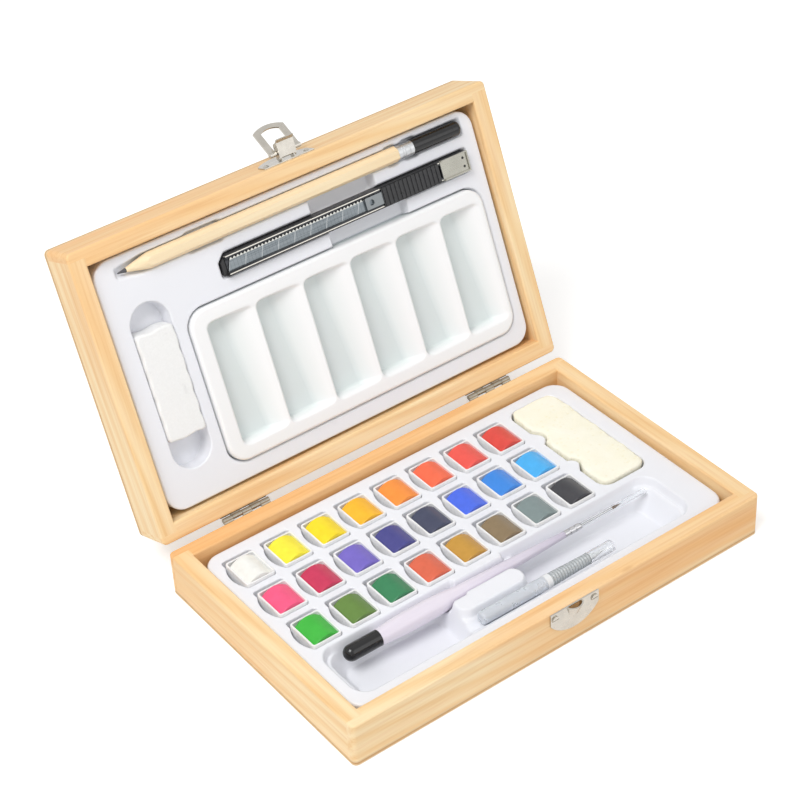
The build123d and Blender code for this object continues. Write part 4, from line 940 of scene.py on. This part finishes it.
def sponge(material):
    """Sponge: drawn-in sides, rounded shoulders and a crowned top."""
    body = Shape()
    centre = SPONGE_MIDDLE
    angles = spread_angles(sponge_outline, centre, 200, 10.0)
    bottom, shoulder = -SPONGE_DEPTH, 1.9
    loops = []
    waist = ((-7.0, 0.35), (-4.0, 0.5), (-2.0, 0.45), (-0.6, 0.3))
    for z, inset in ((bottom, 0.8), (bottom + 0.8, 0.15)) + waist:
        loops.append(ring(sponge_outline, centre, angles, -inset, z))
    rim_z = SPONGE_TOP - shoulder
    for t in np.linspace(0, pi / 2, 7)[1:]:
        loops.append(ring(sponge_outline, centre, angles, -0.3 - shoulder * (1 - cos(t)),
                          rim_z + (shoulder - 0.45) * sin(t)))
    edge = loops[-1]
    for share in (0.93, 0.85, 0.75, 0.64, 0.52, 0.4, 0.28, 0.16, 0.06):
        loop = edge.copy()
        loop[:, 0] = centre[0] + (edge[:, 0] - centre[0]) * share
        loop[:, 1] = centre[1] + (edge[:, 1] - centre[1]) * share
        loop[:, 2] = edge[:, 2] + 0.45 * (1 - share ** 2)
        loops.append(loop)

    def uneven(x, y, z):
        return x, y, z + (0.22 * noise(Vector((x * 0.35, y * 0.35, z))) if z > 0 else 0)

    body.rings([[uneven(*point) for point in loop] for loop in loops], bottom=True, top=True)
    made = piece("paint_sponge", body, "case_base", material, ["sponge"], level=BASE_SURFACE)
    return made


def block_angles():
    """Directions from the eraser's middle to even steps along its four sides."""
    half_x, half_y = ERASER_W / 2, ERASER_L / 2
    longways, across = np.linspace(-26, 26, 53), np.linspace(-9.6, 9.6, 17)
    points = [(half_x, t) for t in longways] + [(t, half_y) for t in across[::-1]]
    points += [(-half_x, t) for t in longways[::-1]] + [(t, -half_y) for t in across]
    x, y = np.array(points).T
    return np.unwrap(np.arctan2(y, x))


def block_ring(angles, cut, z):
    """Ring of the eraser's outline, drawn in by a cut, at a height."""
    half_x, half_y = ERASER_W / 2 - cut, ERASER_L / 2 - cut

    def outline(x, y):
        return sd_box(x, y, ERASER_X - half_x, ERASER_X + half_x, ERASER_Y - half_y, ERASER_Y + half_y, 1.4)

    return ring(outline, (ERASER_X, ERASER_Y), angles, 0.0, z)


def worn(x, y, z):
    """Point of the eraser moved to its rubbed, scalloped shape."""
    side = (x - ERASER_X) / (ERASER_W / 2)
    wave = 1 - abs(cos((y - ERASER_Y) * SCALLOP_TURN + 0.6 * (side > 0)))
    scallop = SCALLOP * wave * max(0.0, (z + 6) / 6)
    return x - side * scallop, y + 0.3 * sin(0.5 * x), z - 0.25 * scallop


def rubbed_eraser(material):
    """Block eraser with worn, rounded edges."""
    body = Shape()
    angles, r = block_angles(), ERASER_ROUND
    loops = [block_ring(angles, r * (1 - sin(t)), -ERASER_T + r * (1 - cos(t)))
             for t in np.linspace(0, pi / 2, 5)]
    loops += [block_ring(angles, 0.0, z) for z in np.linspace(-ERASER_T + 2 * r, -2 * r, 5)]
    loops += [block_ring(angles, r * (1 - cos(t)), -r * (1 - sin(t))) for t in np.linspace(0, pi / 2, 6)]
    body.rings([[worn(*point) for point in loop] for loop in loops], bottom=True, top=True)
    return piece("rubbed_eraser", body, "lid", material, ["eraser"], lid=True,
                 level=LID_SURFACE + ERASER_PROUD)


def snap_blade(material):
    """Snap-off blade with its slanted end."""
    body = Shape()
    (x0, x1), half, lean = BLADE_X, BLADE_HALF, SCORE_SLANT * BLADE_HALF
    low, high = KNIFE_Y - half, KNIFE_Y + half
    outline = [(x0 + lean, low), (x1, low), (x1, high), (x0 - lean, high)]
    loops = [[(x, y, z) for x, y in outline] for z in BLADE_Z]
    body.rings(loops, bottom=True, top=True)
    return piece("snap_blade", body, "knife_slider", material, ["knife_blade"],
                 lid=True, bevel=0.06)


# ======================== finishes of the CAD pieces
def dress(material, *names, bevel=0.0):
    """Gives CAD nodes a finish and eases their edges."""
    for name in names:
        obj = NODES[name]
        obj.data.materials.clear()
        obj.data.materials.append(material)
        if bevel:
            soften(obj, bevel)


def dress_case():
    """Wooden boards and plywood."""
    for index, side in enumerate(("front", "back", "left", "right")):
        grain = "X" if side in ("front", "back") else "Y"
        dress(wood(f"pine_base_{side}", grain, shift=(0.31 * index, 0.17 * index, 0.53 * index)),
              f"base_{side}_board")
        dress(wood(f"pine_lid_{side}", grain, LID_TURN, shift=(0.4 + 0.23 * index, 0.9, 0.37 * index)),
              f"lid_{side}_board")
    dress(plywood("plywood_base", 0.0, PANEL_T), "base_panel")
    lid_base = HINGE.z + RIM_GAP / 2 - LID_H - RIM_GAP
    dress(plywood("plywood_lid", lid_base, PANEL_T, LID_TURN), "lid_panel")


def dress_metal():
    """Hinges, latch, catch, screws, ferrules and the knife's steel."""
    plated = metal("plated_steel", linear(196, 191, 182), 0.22)
    tarnished = metal("hinge_steel", linear(158, 151, 138), 0.3)
    dress(plated, "catch_plate", "latch_plate", "latch_lever", "latch_loop", "latch_rivets", "catch_screws",
          "latch_lever_pin", "latch_loop_pin", bevel=0.12)
    hinges = [f"hinge_{side}_{part}" for side in ("left", "right")
              for part in ("base_leaf", "lid_leaf", "pin")]
    dress(tarnished, *hinges, "hinge_screws_base", "hinge_screws_lid", bevel=0.08)
    dress(metal("ferrule_metal", linear(200, 200, 202), 0.24, "X"), "brush_ferrule", "brush_needle_tube",
          bevel=0.08)
    dress(metal("pencil_band", linear(204, 206, 208), 0.34, "X"), "pencil_ferrule", bevel=0.08)
    dress(metal("clip_steel", linear(176, 174, 164), 0.26, "X"), "knife_tail_clip", bevel=0.06)
    dress(knife_channel_steel("channel_steel"), "knife_channel", bevel=0.1)
    snap_blade(blade_steel("blade_steel"))


def dress_tools():
    """Plastic and wooden parts of the pencil, knife and brushes."""
    black = moulded("black_plastic", linear(14, 14, 16), 0.13, 0.1)
    dress(black, "brush_end_cap", "pencil_cap", bevel=0.1)
    dress(moulded("knife_black", linear(34, 34, 36), 0.35), "knife_body", bevel=0.25)
    dress(slider_finish("slider_black"), "knife_slider", bevel=0.12)
    low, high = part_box("brush_handle")
    lavender, grey_violet = linear(236, 229, 240), linear(205, 198, 214)
    dress(lacquer("handle_lacquer", lavender, grey_violet, low[0] / MM, high[0] / MM), "brush_handle")
    dress(bare_wood("pencil_bare_wood", linear(252, 235, 200), linear(247, 222, 180)), "pencil_wood")
    dress(moulded("graphite", linear(78, 78, 82), 0.35), "pencil_lead")
    dress(moulded("bristle_hair", linear(120, 92, 70), 0.5), "brush_bristles")
    dress(clear("clear_plastic", (0.97, 0.98, 0.985, 1.0)), "brush_guard_tube", "water_brush_cap")
    dress(milky("milky_barrel", linear(238, 243, 250), 0.35, 0.3), "water_brush_barrel", bevel=0.1)
    dress(milky("ribbed_grip", linear(204, 210, 213), 0.2, 0.25, 1.6), "water_brush_grip", bevel=0.1)
    dress(moulded("brush_white", linear(238, 240, 242), 0.3), "water_brush_collar", "water_brush_tip",
          bevel=0.1)


# ======================== light, floor and camera
CAMERA_LENS = (98.36, 36.0)           # focal length and sensor width
CAMERA_PLACE = (-0.47186, -0.62632, 0.69685)
CAMERA_AXES = ((0.797509, -0.601497, -0.046701),
               (0.395148, 0.462283, 0.793822),
               (-0.455892, -0.651534, 0.606355))
FLOOR_HALF, FLOOR_Z, FLOOR_GLOW = 6000, -0.2, 0.42
WORLD_AS_LIGHT, WORLD_SEEN = 0.5, 1.0
LAMP_TARGET = (0, 0, 0.05)


def floor():
    """Pale floor that shows white to the camera and keeps the shadow."""
    corners = [(x * FLOOR_HALF * MM, y * FLOOR_HALF * MM, FLOOR_Z * MM)
               for x, y in ((-1, -1), (1, -1), (1, 1), (-1, 1))]
    mesh = bpy.data.meshes.new("floor")
    mesh.from_pydata(corners, [], [(0, 1, 2, 3)])
    obj = bpy.data.objects.new("floor", mesh)
    bpy.context.scene.collection.objects.link(obj)
    f = Finish("floor_paper", Roughness=0.9, Specular_IOR_Level=0.0)
    f.shader.inputs["Base Color"].default_value = (0.86, 0.86, 0.86, 1.0)
    path = f.node("LightPath")
    seen = f.maths("ADD", path.outputs["Is Camera Ray"], path.outputs["Is Glossy Ray"], clamp=True)
    seen = f.maths("ADD", seen, path.outputs["Is Transmission Ray"], clamp=True)
    glow = f.node("Emission", {"Color": (1, 1, 1, 1), "Strength": f.maths("MULTIPLY", seen, FLOOR_GLOW)})
    both = f.node("AddShader", {0: f.shader.outputs[0], 1: glow.outputs[0]})
    f.tree.links.new(both.outputs[0], f.tree.nodes["Material Output"].inputs["Surface"])
    mesh.materials.append(f.material)


def world():
    """White surroundings: full white where seen, softer as light."""
    made = bpy.data.worlds.new("studio")
    made.use_nodes = True
    tree = made.node_tree
    path = tree.nodes.new("ShaderNodeLightPath")
    previous = path.outputs["Is Camera Ray"]
    for name in ("Is Glossy Ray", "Is Transmission Ray"):
        add = tree.nodes.new("ShaderNodeMath")
        add.operation = "ADD"
        add.use_clamp = True
        tree.links.new(previous, add.inputs[0])
        tree.links.new(path.outputs[name], add.inputs[1])
        previous = add.outputs[0]
    level = tree.nodes.new("ShaderNodeMapRange")
    level.inputs["To Min"].default_value = WORLD_AS_LIGHT
    level.inputs["To Max"].default_value = WORLD_SEEN
    tree.links.new(previous, level.inputs["Value"])
    tree.links.new(level.outputs[0], tree.nodes["Background"].inputs["Strength"])
    tree.nodes["Background"].inputs["Color"].default_value = (1, 1, 1, 1)
    bpy.context.scene.world = made


def lamp(name, place, size, watts):
    """Square soft box that faces the object."""
    data = bpy.data.lights.new(name, "AREA")
    data.size = size
    data.energy = watts
    obj = bpy.data.objects.new(name, data)
    obj.location = place
    obj.rotation_euler = (Vector(place) - Vector(LAMP_TARGET)).to_track_quat("Z", "Y").to_euler()
    bpy.context.scene.collection.objects.link(obj)


def camera():
    """Camera at the photograph's place: its axes as right, up and back."""
    data = bpy.data.cameras.new("camera")
    data.lens, data.sensor_width = CAMERA_LENS
    obj = bpy.data.objects.new("camera", data)
    turn = Matrix(CAMERA_AXES).transposed().to_4x4()
    obj.matrix_world = Matrix.Translation(CAMERA_PLACE) @ turn
    bpy.context.scene.collection.objects.link(obj)
    bpy.context.scene.camera = obj


def main():
    """Builds the scene."""
    camera()
    world()
    floor()
    lamp("key", (-0.75, -0.2, 1.35), 0.7, 13)
    lamp("fill", (0.5, -1.3, 0.9), 1.2, 4)
    white_sheet = formed_sheet("tray_sheet", linear(240, 241, 246))
    base_tray(white_sheet)
    lid_tray(white_sheet)
    palette(palette_sheet("palette_sheet"))
    pans(moulded("pan_white", linear(246, 246, 246), 0.3, 0.1))
    sponge(foam("sponge_foam"))
    rubbed_eraser(vinyl("eraser_vinyl"))
    dress_case()
    dress_metal()
    dress_tools()
    bpy.context.scene.view_settings.view_transform = "Standard"


main()
